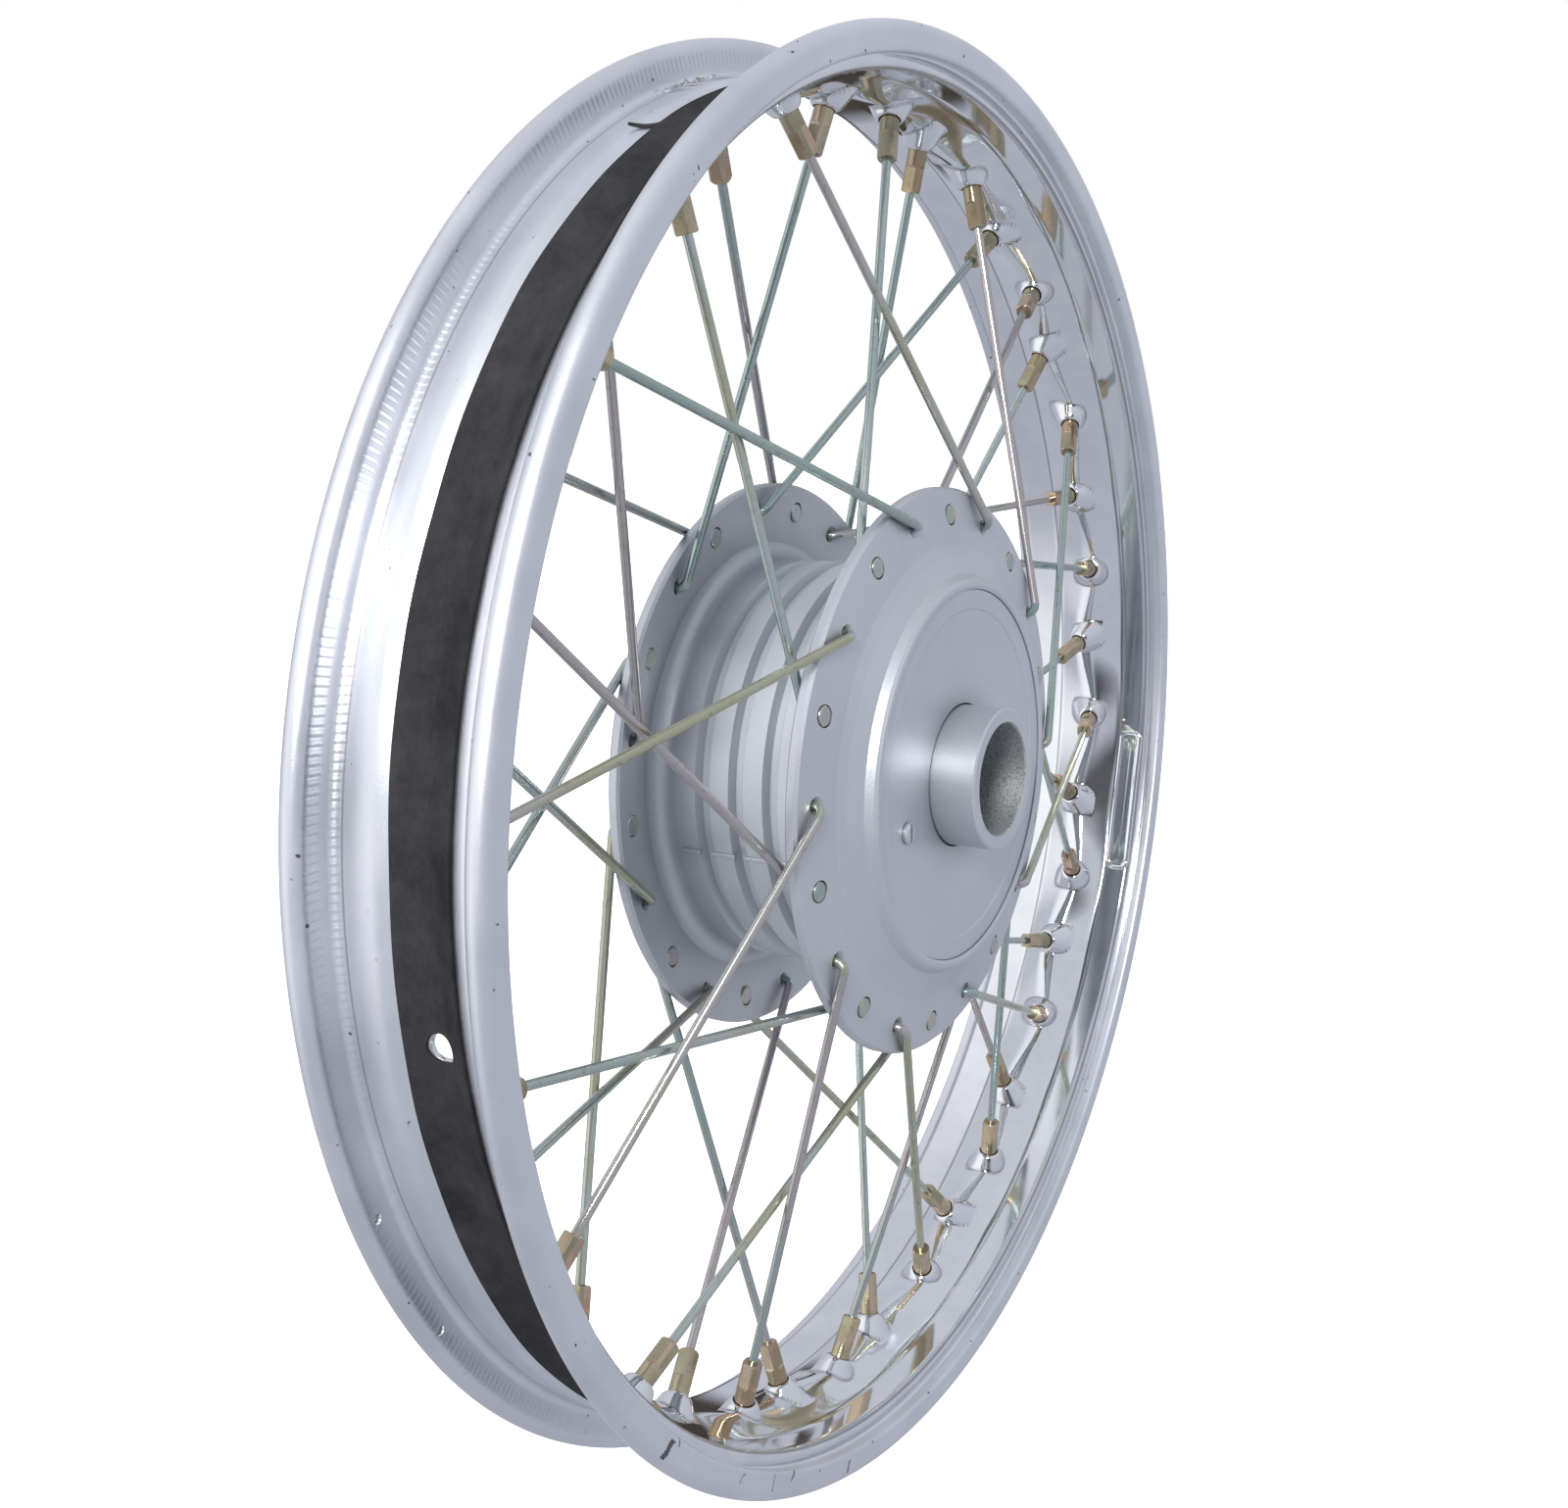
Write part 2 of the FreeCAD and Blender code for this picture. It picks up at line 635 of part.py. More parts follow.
def make_screw():
    """Slotted pan-head screw that holds the cover disc."""
    body = new_body("cover_screw")
    seat = "cover_face + screw_seat"
    top = f"{seat} - screw_head_height"
    end = f"{seat} + screw_length - screw_chamfer"
    place = aimed(rim_point(value("screw_circle"), 0, value("screw_angle")), Vector(0, 1, 0), Vector(1, 0, 0))
    turned(body, "screw", [
        ("0", top), ("screw_head_radius - screw_chamfer", top),
        ("screw_head_radius", f"{top} + screw_chamfer"), ("screw_head_radius", seat),
        ("screw_radius - thread_play", seat), ("screw_radius - thread_play", end), ("0", end)], place)
    sketch = new_sketch(body, "slot_outline", place)
    outline(sketch, [
        ("-slot_width/2", f"{top} - overrun"), ("slot_width/2", f"{top} - overrun"),
        ("slot_width/2", f"{top} + slot_depth"), ("-slot_width/2", f"{top} + slot_depth")])
    slot = body.newObject("PartDesign::Pocket", "slot")
    slot.Profile = sketch
    slot.Midplane = True
    bind(slot, Length="screw_head_radius*3")


def make_sleeve():
    """Steel tube pressed into the boss: it stands out of the near face and holds the near bearing."""
    body = new_body("bearing_sleeve")
    inner = "near_bearing + bearing_width/2"
    outer = "near_bearing - bearing_width/2"
    turned(body, "sleeve", [
        ("bearing_radius + sleeve_chamfer", "sleeve_end"), ("sleeve_radius - sleeve_chamfer", "sleeve_end"),
        ("sleeve_radius", "sleeve_end + sleeve_chamfer"), ("sleeve_radius", "sleeve_foot"),
        ("shoulder_radius", "sleeve_foot"),
        ("shoulder_radius", inner), ("bearing_radius", inner), ("bearing_radius", outer),
        ("bearing_radius + ring_depth", outer), ("bearing_radius + ring_depth", f"{outer} - ring_thickness"),
        ("bearing_radius", f"{outer} - ring_thickness"), ("bearing_radius", "sleeve_end + sleeve_chamfer")])


def make_liner():
    """Iron ring that the brake shoes rub on."""
    turned(new_body("brake_liner"), "liner", tube(
        "liner_inner", "liner_outer", "drum_floor + liner_floor_gap", "mouth_face - liner_lip"))


def make_distance_tube():
    """Tube that keeps the two inner rings apart on the axle."""
    turned(new_body("distance_tube"), "tube", tube(
        "bearing_bore", "tube_radius", "near_bearing + bearing_width/2", "far_bearing - bearing_width/2"))


def make_retaining_ring(name, bearing, way):
    """Open spring ring in the groove outside a bearing."""
    body = new_body(f"{name}_retaining_ring")
    face = f"{bearing} + ({way})*bearing_width/2"
    turned(body, "ring", tube(
        "ring_inner", "bearing_radius + ring_depth - ring_play", f"{face} + ({way})*ring_play/2",
        f"{face} + ({way})*(ring_thickness - ring_play/2)"))
    sketch = new_sketch(body, "gap_outline")
    outline(sketch, tube(
        "-ring_gap/2", "ring_gap/2", f"{face} - ({way})*overrun", f"{face} + ({way})*(ring_thickness + overrun)"))
    gap = body.newObject("PartDesign::Pocket", "gap")
    gap.Profile = sketch
    bind(gap, Length="bearing_radius*2")


def make_bearing(name, middle):
    """Deep-groove ball bearing: two rings, balls, cage and a pair of shields."""
    half = "bearing_width/2"
    chamfer = "bearing_chamfer"
    bite = "sqrt(race_radius^2 - (outer_shoulder - ball_pitch)^2)"
    turned(new_body(f"{name}_bearing_outer_ring"), "ring", [
        ("outer_shoulder", f"{middle} - {half}"), (f"bearing_radius - {chamfer}", f"{middle} - {half}"),
        ("bearing_radius", f"{middle} - {half} + {chamfer}"), ("bearing_radius", f"{middle} + {half} - {chamfer}"),
        (f"bearing_radius - {chamfer}", f"{middle} + {half}"), ("outer_shoulder", f"{middle} + {half}"),
        ("outer_shoulder", f"{middle} + {bite}", "ball_pitch", middle, "right"),
        ("outer_shoulder", f"{middle} - {bite}")])
    bite = "sqrt(race_radius^2 - (ball_pitch - inner_shoulder)^2)"
    turned(new_body(f"{name}_bearing_inner_ring"), "ring", [
        ("bearing_bore", f"{middle} - {half}"), ("inner_shoulder", f"{middle} - {half}"),
        ("inner_shoulder", f"{middle} - {bite}", "ball_pitch", middle, "right"),
        ("inner_shoulder", f"{middle} + {bite}"), ("inner_shoulder", f"{middle} + {half}"),
        ("bearing_bore", f"{middle} + {half}")])

    at_ball = Placement(Vector(value("ball_pitch"), value(middle), 0), Rotation())
    body = new_body(f"{name}_bearing_balls")
    ball = sphere(body, "PartDesign::AdditiveSphere", "ball", "ball_radius", at_ball)
    spun(body, "ring_of_balls", [ball], "balls")
    body = new_body(f"{name}_bearing_cage")
    turned(body, "ring", tube(
        "cage_inner", "cage_outer", f"{middle} - cage_half_width", f"{middle} + cage_half_width"))
    pocket = turned(body, "pocket", rod("pocket_radius", "cage_inner - overrun", "cage_outer + overrun"), aimed(
        Vector(0, value(middle), 0), Vector(1, 0, 0), Vector(0, 1, 0)), cut=True)
    spun(body, "ring_of_pockets", [pocket], "balls")
    body = new_body(f"{name}_bearing_shields")
    for side in (-1, 1):
        outer = f"{middle} + ({side})*({half} - shield_inset)"
        inner = f"{middle} + ({side})*({half} - shield_inset - shield_thickness)"
        low, high = (outer, inner) if side < 0 else (inner, outer)
        turned(body, f"shield_{side + 1}", tube("shield_bore", "outer_shoulder", low, high))


make_rim()
make_tape()
for spokes in SETS:
    make_spokes(spokes)
    make_nipples(spokes)
make_hub()
make_cover()
make_screw()
make_sleeve()
make_liner()
make_distance_tube()
for name, bearing, way in (("near", "near_bearing", -1), ("far", "far_bearing", 1)):
    make_bearing(name, bearing)
    make_retaining_ring(name, bearing, way)
doc.recompute()

for thing in doc.Objects:
    if "Invalid" in thing.State or "Error" in thing.State:
        raise RuntimeError(f"{thing.Name} did not compute: {thing.State}")
for part in parts:
    if part.Shape.isNull() or not part.Shape.isValid():
        raise RuntimeError(f"{part.Label} has no valid shape")
os.makedirs("parts", exist_ok=True)
for part in parts:
    solids = len(part.Shape.Solids)
    print(f"{part.Label}: {solids} solid(s), {part.Shape.Volume / 1000:.2f} cm3")
    part.Shape.exportStep(f"parts/{part.Label}.step")
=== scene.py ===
import math

import bmesh
import bpy
import numpy as np
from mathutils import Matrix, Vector


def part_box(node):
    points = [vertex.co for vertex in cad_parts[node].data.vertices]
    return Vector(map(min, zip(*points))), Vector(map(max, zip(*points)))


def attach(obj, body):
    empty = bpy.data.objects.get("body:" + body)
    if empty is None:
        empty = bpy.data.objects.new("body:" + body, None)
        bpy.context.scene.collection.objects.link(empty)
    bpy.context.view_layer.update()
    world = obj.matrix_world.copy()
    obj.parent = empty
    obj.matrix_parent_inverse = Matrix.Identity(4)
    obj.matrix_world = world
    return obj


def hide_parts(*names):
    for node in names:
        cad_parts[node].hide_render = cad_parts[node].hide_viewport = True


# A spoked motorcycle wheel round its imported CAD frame. Shapes are worked out in millimetres and made in
# metres. The axle lies along Y and angles run about it in degrees, from +Z towards +X.

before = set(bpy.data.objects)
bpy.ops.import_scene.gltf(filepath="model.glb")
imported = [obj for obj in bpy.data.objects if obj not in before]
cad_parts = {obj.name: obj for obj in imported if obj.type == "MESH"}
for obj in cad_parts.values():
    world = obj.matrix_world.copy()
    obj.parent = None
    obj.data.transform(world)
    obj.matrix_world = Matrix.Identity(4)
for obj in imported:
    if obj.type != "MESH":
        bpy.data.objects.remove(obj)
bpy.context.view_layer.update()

MM = 0.001
RIM_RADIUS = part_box("rim")[1].z / MM
RIM_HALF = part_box("rim")[1].y / MM
SHEET = 2.0
SEAT_RADIUS = RIM_RADIUS - 13.2
SEAT_HALF = RIM_HALF - 8.15
UNDER_RADIUS = SEAT_RADIUS - SHEET
CURL_HEIGHT = 10.5
HEM_LIP = 4.15
HEM_CREASE = 1.2            # how far the crease beside the folded edge runs in
WELL_CENTRE = -2.0
WELL_HALF = 15.0
WELL_FLOOR = SEAT_RADIUS - 6.3
CREST_RADIUS = WELL_FLOOR - SHEET
CREST_HALF = 2.2
WAVE = 3.15                 # how far the crest swings from side to side, from nipple to nipple
VALVE_ANGLE = 260.44
VALVE_RADIUS = 4.3
FLANGE_HOLES = (247.3, 235.4)
FLANGE_HOLE_RADIUS = 248.5
FLANGE_HOLE = 1.5

SPOKES_PER_SET = 10
HOLE_CIRCLE = 92.2
# sets of spokes: angles of a flange hole and of its nipple, -1 near or 1 far, 1 outside the flange or -1 inside
SPOKE_SETS = ((20.84, -14.06, -1, 1), (2.84, 39.94, -1, -1), (11.74, -23.06, 1, 1), (29.74, 66.94, 1, -1))
NEAR_FACE = 36.65
FAR_FACE = 39.1
HUB_FLANGE_THICK = 4.5
WIRE_OUTSIDE = 3.5          # how far a wire starts off the flange, outside it and inside it
WIRE_INSIDE = 2.8
NIPPLE_BASE = 229.6
NIPPLE_HOLE = 3.85
DOME_TIP = 5.0
DOME_WALL = 1.4
DOME_ROUNDING = (1.6, 0.8)  # on the hub side and the tyre side
NEAR_NIPPLE = 3.94

KNURL_START = 22.6          # y of the first finely ruled row on the far seat
FINE_END = 252.2            # radius of the last
TICKS = 600                 # roll marks round the rim
KNURL_RIDGE = 0.09
KNURL_GROOVE = 0.13
WALL_BAND = (245.6, 246.4, 251.2, 252.0)    # radii where the flange's marks start and end
SEAT_BAND = (23.8, 24.4, 241.9, 242.8)      # y where the seat's marks start, radii where they end
SEAM_Y = 23.4
SEAM_DEPTH = 0.16
BEADS = 26                  # weld beads: their angles, places across the seat, sizes and height to size
BEAD_ANGLES = (339.5, 348.5)
BEAD_ACROSS = (22.5, 27)
BEAD_SIZES = (0.9, 2.0)
BEAD_HEIGHT = 0.55
SEAT_DEGREE = 4.2           # millimetres to a degree at the seat

PAD_Y = -23.15
PAD_ANGLE = 103.1
PAD_HALF_LONG = 33.5
PAD_HALF_WIDE = 5.6
PAD_CORNER = 4.2
# the pad from its border inwards: how far in, and how high
PAD_STEPS = ((0, -0.3), (0.1, 0.25), (0.35, 0.6), (0.9, 0.8), (1.5, 0.8), (1.9, 0.62), (2.4, 0.55),
             (3.4, 0.55), (4.4, 0.55), (5.3, 0.55))
CORNER_POINTS = 40

TAPE_HALF = 10.5
TAPE_THICK = 1.0
TAPE_GAP = 0.3              # between the tape and the well
TEAR_START = 7.6
TEAR_REACH = 6.0
TEAR_ANGLE = 332.9
TEAR_TURN = 1.9
TEAR_RADIUS = 239.5
TEAR_LIFT = 3.6

DRUM_RADIUS = 74.0
DRUM_LANDS = ((6.6, 15.8), (20.4, 27.5), (-6.9, 2.6), (-20.2, -10.8))
FLASH_ANGLE = 253.0
FLASH_HALF = 0.55           # half the parting line's width in degrees
FLASH_SIDE = 0.5            # how far its sides and its top stand off the drum
FLASH_TOP = 0.75

# scratches on the near lip: angle at the inner and outer end, the two radii, and half the width in degrees
SCRATCHES = ((225.3, 225.7, 245.9, 252.4, 0.32), (204.6, 205.1, 243.2, 247.5, 0.12),
             (194.9, 195.1, 246.5, 250.9, 0.12), (224.5, 224.2, 243.8, 246.6, 0.08),
             (208.1, 208.0, 244.8, 250.6, 0.06), (213.4, 213.6, 246.0, 249.0, 0.05))
STEEL_NODES = ("distance_tube", "near_retaining_ring", "far_retaining_ring")
PAINTED_NODES = ("hub_shell", "hub_cover_disc", "cover_screw")

COLUMNS = 800               # cells round the rim
FINE = 6                    # finer cells to one of those where the rim is knurled
CELL = 360 / COLUMNS

WIRE_TINTS = ((0.0, (0.40, 0.51, 0.47)), (0.3, (0.54, 0.60, 0.57)), (0.45, (0.52, 0.52, 0.36)),
              (0.6, (0.57, 0.56, 0.53)), (0.8, (0.55, 0.50, 0.50)), (1.0, (0.40, 0.51, 0.47)))
NIPPLE_TINTS = ((0.0, (0.42, 0.32, 0.20)), (0.25, (0.38, 0.36, 0.25)), (0.5, (0.60, 0.50, 0.34)),
                (0.75, (0.66, 0.46, 0.36)), (1.0, (0.42, 0.32, 0.20)))
# the studio: colours from straight down to straight up
STUDIO = ((0.0, (0.45, 0.47, 0.53)), (0.42, (0.52, 0.54, 0.61)), (0.56, (0.56, 0.58, 0.65)),
          (1.0, (0.66, 0.68, 0.74)))
# soft patches on it: direction, inner and outer angle, colour
LOBES = (((0.86, 0.46, -0.20), 11, 18, (0.06, 0.052, 0.045)),
         ((-0.55, 0.45, 0.75), 10, 42, (0.92, 0.94, 0.99)),
         ((-0.75, 0.62, 0.10), 16, 46, (1.10, 1.11, 1.14)),
         ((-0.84, -0.50, 0.16), 8, 20, (0.10, 0.10, 0.11)))
CAMERA_TURN = -59.64
CAMERA_RISE = 10.52
CAMERA_PLACE = (-0.0249, 0.0033, 0.6836)    # right, up and back from the wheel's centre
SENSOR = 36
LENS = SENSOR * 1883.14 / 1600
KEY_PLACE = (-1.45, -0.45, 0.80)
KEY_SIZE = 0.34
KEY_POWER = 20
FLOOR_HALF = 12.0
WHITE = (1.0, 1.0, 1.0)


# ---------------------------------------------------------------- shapes

class Shell:
    """The points, in millimetres, and the faces of one mesh, gathered bit by bit."""

    def __init__(self):
        self.points = []
        self.count = 0
        self.faces = []
        self.looks = []
        self.shade_and_grime = []

    def add(self, points):
        """Add points and return their numbers in an array of the same layout."""
        points = np.asarray(points, float)
        ids = np.arange(self.count, self.count + points.size // 3).reshape(points.shape[:-1])
        self.points.append(points.reshape(-1, 3))
        self.count += ids.size
        return ids

    def quads(self, ids, look=0, keep=None):
        """Faces between the closed rows of ids. keep says which cells are filled."""
        ids = np.concatenate([ids, ids[:, :1]], axis=1)
        corners = np.stack([ids[:-1, :-1], ids[:-1, 1:], ids[1:, 1:], ids[1:, :-1]], axis=-1)
        corners = corners[keep] if keep is not None else corners.reshape(-1, 4)
        self.faces += corners.tolist()
        self.looks += [look] * len(corners)

    def fan(self, coarse, fine, look):
        """Faces that join a row to another with a whole number of its cells to one of this row's."""
        share = len(fine) // len(coarse)
        for i in range(len(coarse)):
            j = i * share
            end = [int(fine[(j + k) % len(fine)]) for k in range(share, -1, -1)]
            self.faces.append([int(coarse[i]), int(coarse[(i + 1) % len(coarse)])] + end)
            self.looks.append(look)

    def made(self, name, materials, round_angle):
        """The mesh as an object, with its faces turned outwards and its sharp edges kept."""
        mesh = bpy.data.meshes.new(name)
        points = np.concatenate(self.points) * MM
        mesh.from_pydata(points.tolist(), [], self.faces)
        for material in materials:
            mesh.materials.append(material)
        mesh.polygons.foreach_set("material_index", self.looks)
        # painted shade and grime, kept at each point for the chrome materials to darken by
        if self.shade_and_grime:
            marks = np.zeros(self.count, np.float32)
            for ids, strength in self.shade_and_grime:
                marks[ids.ravel()] = strength.ravel()
            mesh.attributes.new("shade_and_grime", "FLOAT", "POINT").data.foreach_set("value", marks)
        work = bmesh.new()
        work.from_mesh(mesh)
        bmesh.ops.recalc_face_normals(work, faces=work.faces)
        work.to_mesh(mesh)
        work.free()
        mesh.update()
        mesh.shade_smooth()
        mesh.set_sharp_from_angle(angle=math.radians(round_angle))
        thing = bpy.data.objects.new(name, mesh)
        bpy.context.scene.collection.objects.link(thing)
        return thing


def smooth_least(a, b, width):
    """The lesser of a and b, rounded over where they are within width of each other."""
    width = np.maximum(width, 1e-9)
    share = np.clip(0.5 + 0.5 * (b - a) / width, 0, 1)
    return b * (1 - share) + a * share - width * share * (1 - share)


def smooth_most(a, b, width):
    return -smooth_least(-a, -b, width)


def ramp(x, low, high):
    """0 below low, 1 above high and smooth between them."""
    t = np.clip((x - low) / (high - low), 0, 1)
    return t * t * (3 - 2 * t)


def at(radius, y, angle):
    """Points at an angle in degrees round the axle."""
    radius, y, angle = np.broadcast_arrays(radius, y, np.radians(angle))
    return np.stack([radius * np.sin(angle), y, radius * np.cos(angle)], axis=-1)


def rounded(corners, step):
    """The (radius, y) points of an outline of (radius, y, fillet) corners, no run longer than step."""
    spots = np.array([c[:2] for c in corners], float)
    out = [spots[0]]
    for i in range(1, len(corners)):
        last, end = out[-1], spots[i]
        arc = []
        if i < len(corners) - 1 and corners[i][2] > 0:
            here = spots[i]
            back = (spots[i - 1] - here) / np.linalg.norm(spots[i - 1] - here)
            on = (spots[i + 1] - here) / np.linalg.norm(spots[i + 1] - here)
            half = math.acos(np.clip(back @ on, -1, 1)) / 2
            reach = corners[i][2] / math.tan(half)
            middle = (back + on) / np.linalg.norm(back + on) * corners[i][2] / math.sin(half)
            start, stop = back * reach - middle, on * reach - middle
            pieces = max(3, math.ceil((math.pi - 2 * half) / math.radians(15)))
            sweep = math.pi - 2 * half
            for k in range(pieces + 1):
                t = sweep * k / pieces
                spoke = (start * math.sin(sweep - t) + stop * math.sin(t)) / math.sin(sweep)
                arc.append(here + middle + spoke)
            end = arc[0]
        runs = max(1, math.ceil(np.linalg.norm(end - last) / step - 1e-6))
        out += [last + (end - last) * k / runs for k in range(1, runs + 1)]
        out += arc[1:]
    return np.array(out)


def rows_round(section):
    """Rings of points, one for each (radius, y) of a section."""
    angles = np.arange(COLUMNS) * 360 / COLUMNS
    return at(section[:, :1], section[:, 1:], angles[None, :])


# ---------------------------------------------------------------- where the spokes run

def boss_sets():
    """For each set of nipples: the first one's seat and the direction of its wire there."""
    out = []
    for hole, nipple, side, outside in SPOKE_SETS:
        face = NEAR_FACE if side < 0 else FAR_FACE
        stand = WIRE_OUTSIDE if outside > 0 else -HUB_FLANGE_THICK - WIRE_INSIDE
        foot = at(HOLE_CIRCLE, side * (face + stand), hole)
        seat = at(NIPPLE_BASE, WELL_CENTRE + side * WAVE, nipple)
        run = (seat - foot) / np.linalg.norm(seat - foot)
        out.append((seat, run))
    return out


def turned(points, angle):
    """Points or directions turned about the axle."""
    c, s = math.cos(math.radians(angle)), math.sin(math.radians(angle))
    x, y, z = points[..., 0], points[..., 1], points[..., 2]
    return np.stack([x * c + z * s, y, z * c - x * s], axis=-1)


# ---------------------------------------------------------------- rim

def crest_line(angle):
    """The y of the well's crest, which swings from nipple to nipple."""
    return WELL_CENTRE - WAVE * np.cos(np.radians(SPOKES_PER_SET * 2 * (angle - NEAR_NIPPLE)))


def well_radius(y, crest, half, top, middle):
    """Radius of one face of the well: a rounded crest and two slopes that end at the seats."""
    offset = y - middle
    edge = np.where(offset < 0, WELL_CENTRE - WELL_HALF, WELL_CENTRE + WELL_HALF)
    slope = (top - crest) / (np.abs(edge - middle) - half)
    climb = crest + slope * (np.abs(offset) - half)
    return smooth_least(smooth_most(climb, crest + 0 * climb, 1.3), top + 0 * climb, 0.9)


def hub_side(y, angle):
    return well_radius(y, CREST_RADIUS, CREST_HALF, UNDER_RADIUS, crest_line(angle))


def tyre_side(y, angle):
    """The same at every angle, which hub_side isn't."""
    return well_radius(y, WELL_FLOOR, CREST_HALF, SEAT_RADIUS, WELL_CENTRE)


def height_over(surface, x, y, origin, axes):
    """How far along the third axis a surface of revolution lies from a flat place (x, y) on the other two."""
    height = np.full(x.shape, 4.0)
    for _ in range(14):
        p = origin + x[..., None] * axes[0] + y[..., None] * axes[1] + height[..., None] * axes[2]
        angle = np.degrees(np.arctan2(p[..., 0], p[..., 2]))
        height -= np.hypot(p[..., 0], p[..., 2]) - surface(p[..., 1], angle)
    return height


def dimple(distance, tip, low, rounding):
    """Height of a dome's skin over its tip at a distance from its axis."""
    return low + smooth_most(0 * distance, 2.0 * (distance - tip), rounding) + 0.008 * distance ** 2


def hole_patch(points, surface, origin, axes, radius, dome, deep):
    """Rings of points from a block's border, in towards a round hole, and down its wall, and each point's
    painted shade and grime.
    """
    local = (points - origin) @ np.array(axes).T
    bearing = np.arctan2(local[:, 1], local[:, 0])
    rim = np.stack([np.cos(bearing), np.sin(bearing)], axis=-1) * radius
    rings, shade_and_grime = [], []
    for t in np.linspace(1, 0, 19)[1:]:
        share = t ** 1.25
        flat = rim + (local[:, :2] - rim) * share
        height = height_over(surface, flat[:, 0], flat[:, 1], origin, axes)
        foot = 0 * height
        if dome is not None:
            skin = dimple(np.hypot(flat[:, 0], flat[:, 1]), *dome)
            # painted shade and grime: darker where the well's skin runs into the dome's foot
            foot = np.exp(-((height - skin) / 0.5) ** 2) * np.clip((1 - t) * 8, 0, 1)
            height = smooth_least(height, skin, 1.1 * dome[2] / 1.6 * (1 - t) + 1e-6)
        rings.append(np.column_stack([flat, height]))
        shade_and_grime.append(foot)
    # where there is a dome, the hole's edge and its wall are darkened fully: painted shade
    shade_and_grime[-1] = shade_and_grime[-1] * 0 + (1 if dome is not None else 0)
    edge = rings[-1].copy()
    rings[-1][:, :2] *= 1 + 0.25 / radius
    edge[:, 2] += deep * 0.25
    rings.append(edge)
    shade_and_grime.append(shade_and_grime[-1])
    return origin + np.array(rings) @ np.array(axes), np.array(shade_and_grime)


def punch(shell, layers, rows, keep, origin, run, hole, half, domes):
    """Cut a round hole through both faces of a sheet, with a dome round it where one is given."""
    middle = origin + run * 6.4
    angle = math.degrees(math.atan2(middle[0], middle[2])) % 360
    left, right = math.floor((angle - half[0]) / CELL), math.ceil((angle + half[0]) / CELL)
    top = int(np.searchsorted(rows, middle[1] - half[1]))
    bottom = int(np.searchsorted(rows, middle[1] + half[1]))
    keep[top:bottom, np.arange(left, right) % COLUMNS] = False
    side = np.cross(run, [0, 1, 0])
    side /= np.linalg.norm(side)
    axes = (side, np.cross(run, side), run)
    loops = []
    for (ids, surface, deep, look), dome in zip(layers, domes):
        edge = border(ids, top, bottom, left, right)
        points = np.concatenate(shell.points)[edge]
        # each point also takes its painted shade and grime, at the dome's foot and the hole's edge
        points, shade_and_grime = hole_patch(points, surface, origin, axes, hole, dome, deep)
        rings = shell.add(points)
        shell.shade_and_grime.append((rings, shade_and_grime))
        rings = np.concatenate([edge[None, :], rings])
        shell.quads(rings, look)
        loops.append(rings[-1])
    shell.quads(np.stack(loops), layers[0][3])


def blind_hole(shell, ids, keep, top, bottom, angle):
    """A small drilled hole in the far flange, as deep as the sheet, in the finely ruled rows."""
    reach = math.ceil(0.56 / CELL * FINE)
    middle = round(angle / CELL * FINE)
    keep[top:bottom, middle - reach:middle + reach] = False
    edge = border(ids, top, bottom, middle - reach, middle + reach)
    origin = at(FLANGE_HOLE_RADIUS, SEAT_HALF, angle)
    axes = np.array([at(1, 0, angle + 90), at(1, 0, angle), (0, -1, 0)])
    local = (np.concatenate(shell.points)[edge] - origin) @ axes.T
    bearing = np.arctan2(local[:, 1], local[:, 0])
    circle = np.stack([np.cos(bearing), np.sin(bearing), 0 * bearing], axis=-1)
    rings = [local * t + circle * FLANGE_HOLE * (1 - t) for t in (0.6, 0.3, 0.1)]
    for radius, depth in ((FLANGE_HOLE, 0), (FLANGE_HOLE - 0.2, 0.25), (FLANGE_HOLE - 0.2, SHEET)):
        rings.append(circle * radius - np.array([0, 0, depth]))
    rings = np.concatenate([edge[None, :], shell.add(origin + np.array(rings) @ axes)])
    shell.quads(rings, 1)
    shell.faces.append(rings[-1].tolist())
    shell.looks.append(1)


def border(ids, top, bottom, left, right):
    """The numbers of a grid's points round a block, in order."""
    columns = np.arange(left, right + 1) % ids.shape[1]
    rows = np.arange(top, bottom + 1)
    return np.concatenate([ids[top, columns], ids[rows[1:], columns[-1]], ids[bottom, columns[::-1][1:]],
                           ids[rows[::-1][1:-1], columns[0]]])


def knurl(section, angles):
    """Height of the roll marks and of the weld's beads on the far seat and flange, and a darker ring round each
    bead's foot.
    """
    radius, y = section[:, :1], section[:, 1:]
    rng = np.random.default_rng(11)
    strength = rng.uniform(0.6, 1.0, (2, TICKS))
    tick = angles * TICKS / 360
    out = np.zeros((len(section), len(angles)))
    wall = ramp(radius, *WALL_BAND[:2]) * (1 - ramp(radius, *WALL_BAND[2:]))
    seat = ramp(y, *SEAT_BAND[:2]) * (1 - ramp(radius, *SEAT_BAND[2:]))
    for band, skew, height, power in ((wall, 0.04, 1.1, strength[0]), (seat, -0.10, 0.8, strength[1])):
        place = tick[None, :] + skew * (radius - y)
        phase = place - np.round(place)
        which = np.round(place).astype(int) % TICKS
        ridge = KNURL_RIDGE * np.exp(-((phase - 0.28) / 0.20) ** 2)
        mark = ridge - KNURL_GROOVE * np.exp(-(phase / 0.11) ** 2)
        out += band * mark * height * power[which]
    out -= SEAM_DEPTH * np.exp(-((y - SEAM_Y) / 0.22) ** 2) * (radius < SEAT_RADIUS + 0.5)
    shade_and_grime = np.zeros(out.shape)
    for _ in range(BEADS):
        centre, across, size = rng.uniform(*BEAD_ANGLES), rng.uniform(*BEAD_ACROSS), rng.uniform(*BEAD_SIZES)
        reach = np.hypot((angles[None, :] - centre) * SEAT_DEGREE, y + (radius - SEAT_RADIUS) - across) / size
        out += BEAD_HEIGHT * size * np.clip(1 - reach ** 2, 0, None) ** 0.5
        shade_and_grime = np.maximum(shade_and_grime, rng.uniform(0.3, 1) * np.exp(-((reach - 1.05) / 0.14) ** 2))
    return out, shade_and_grime


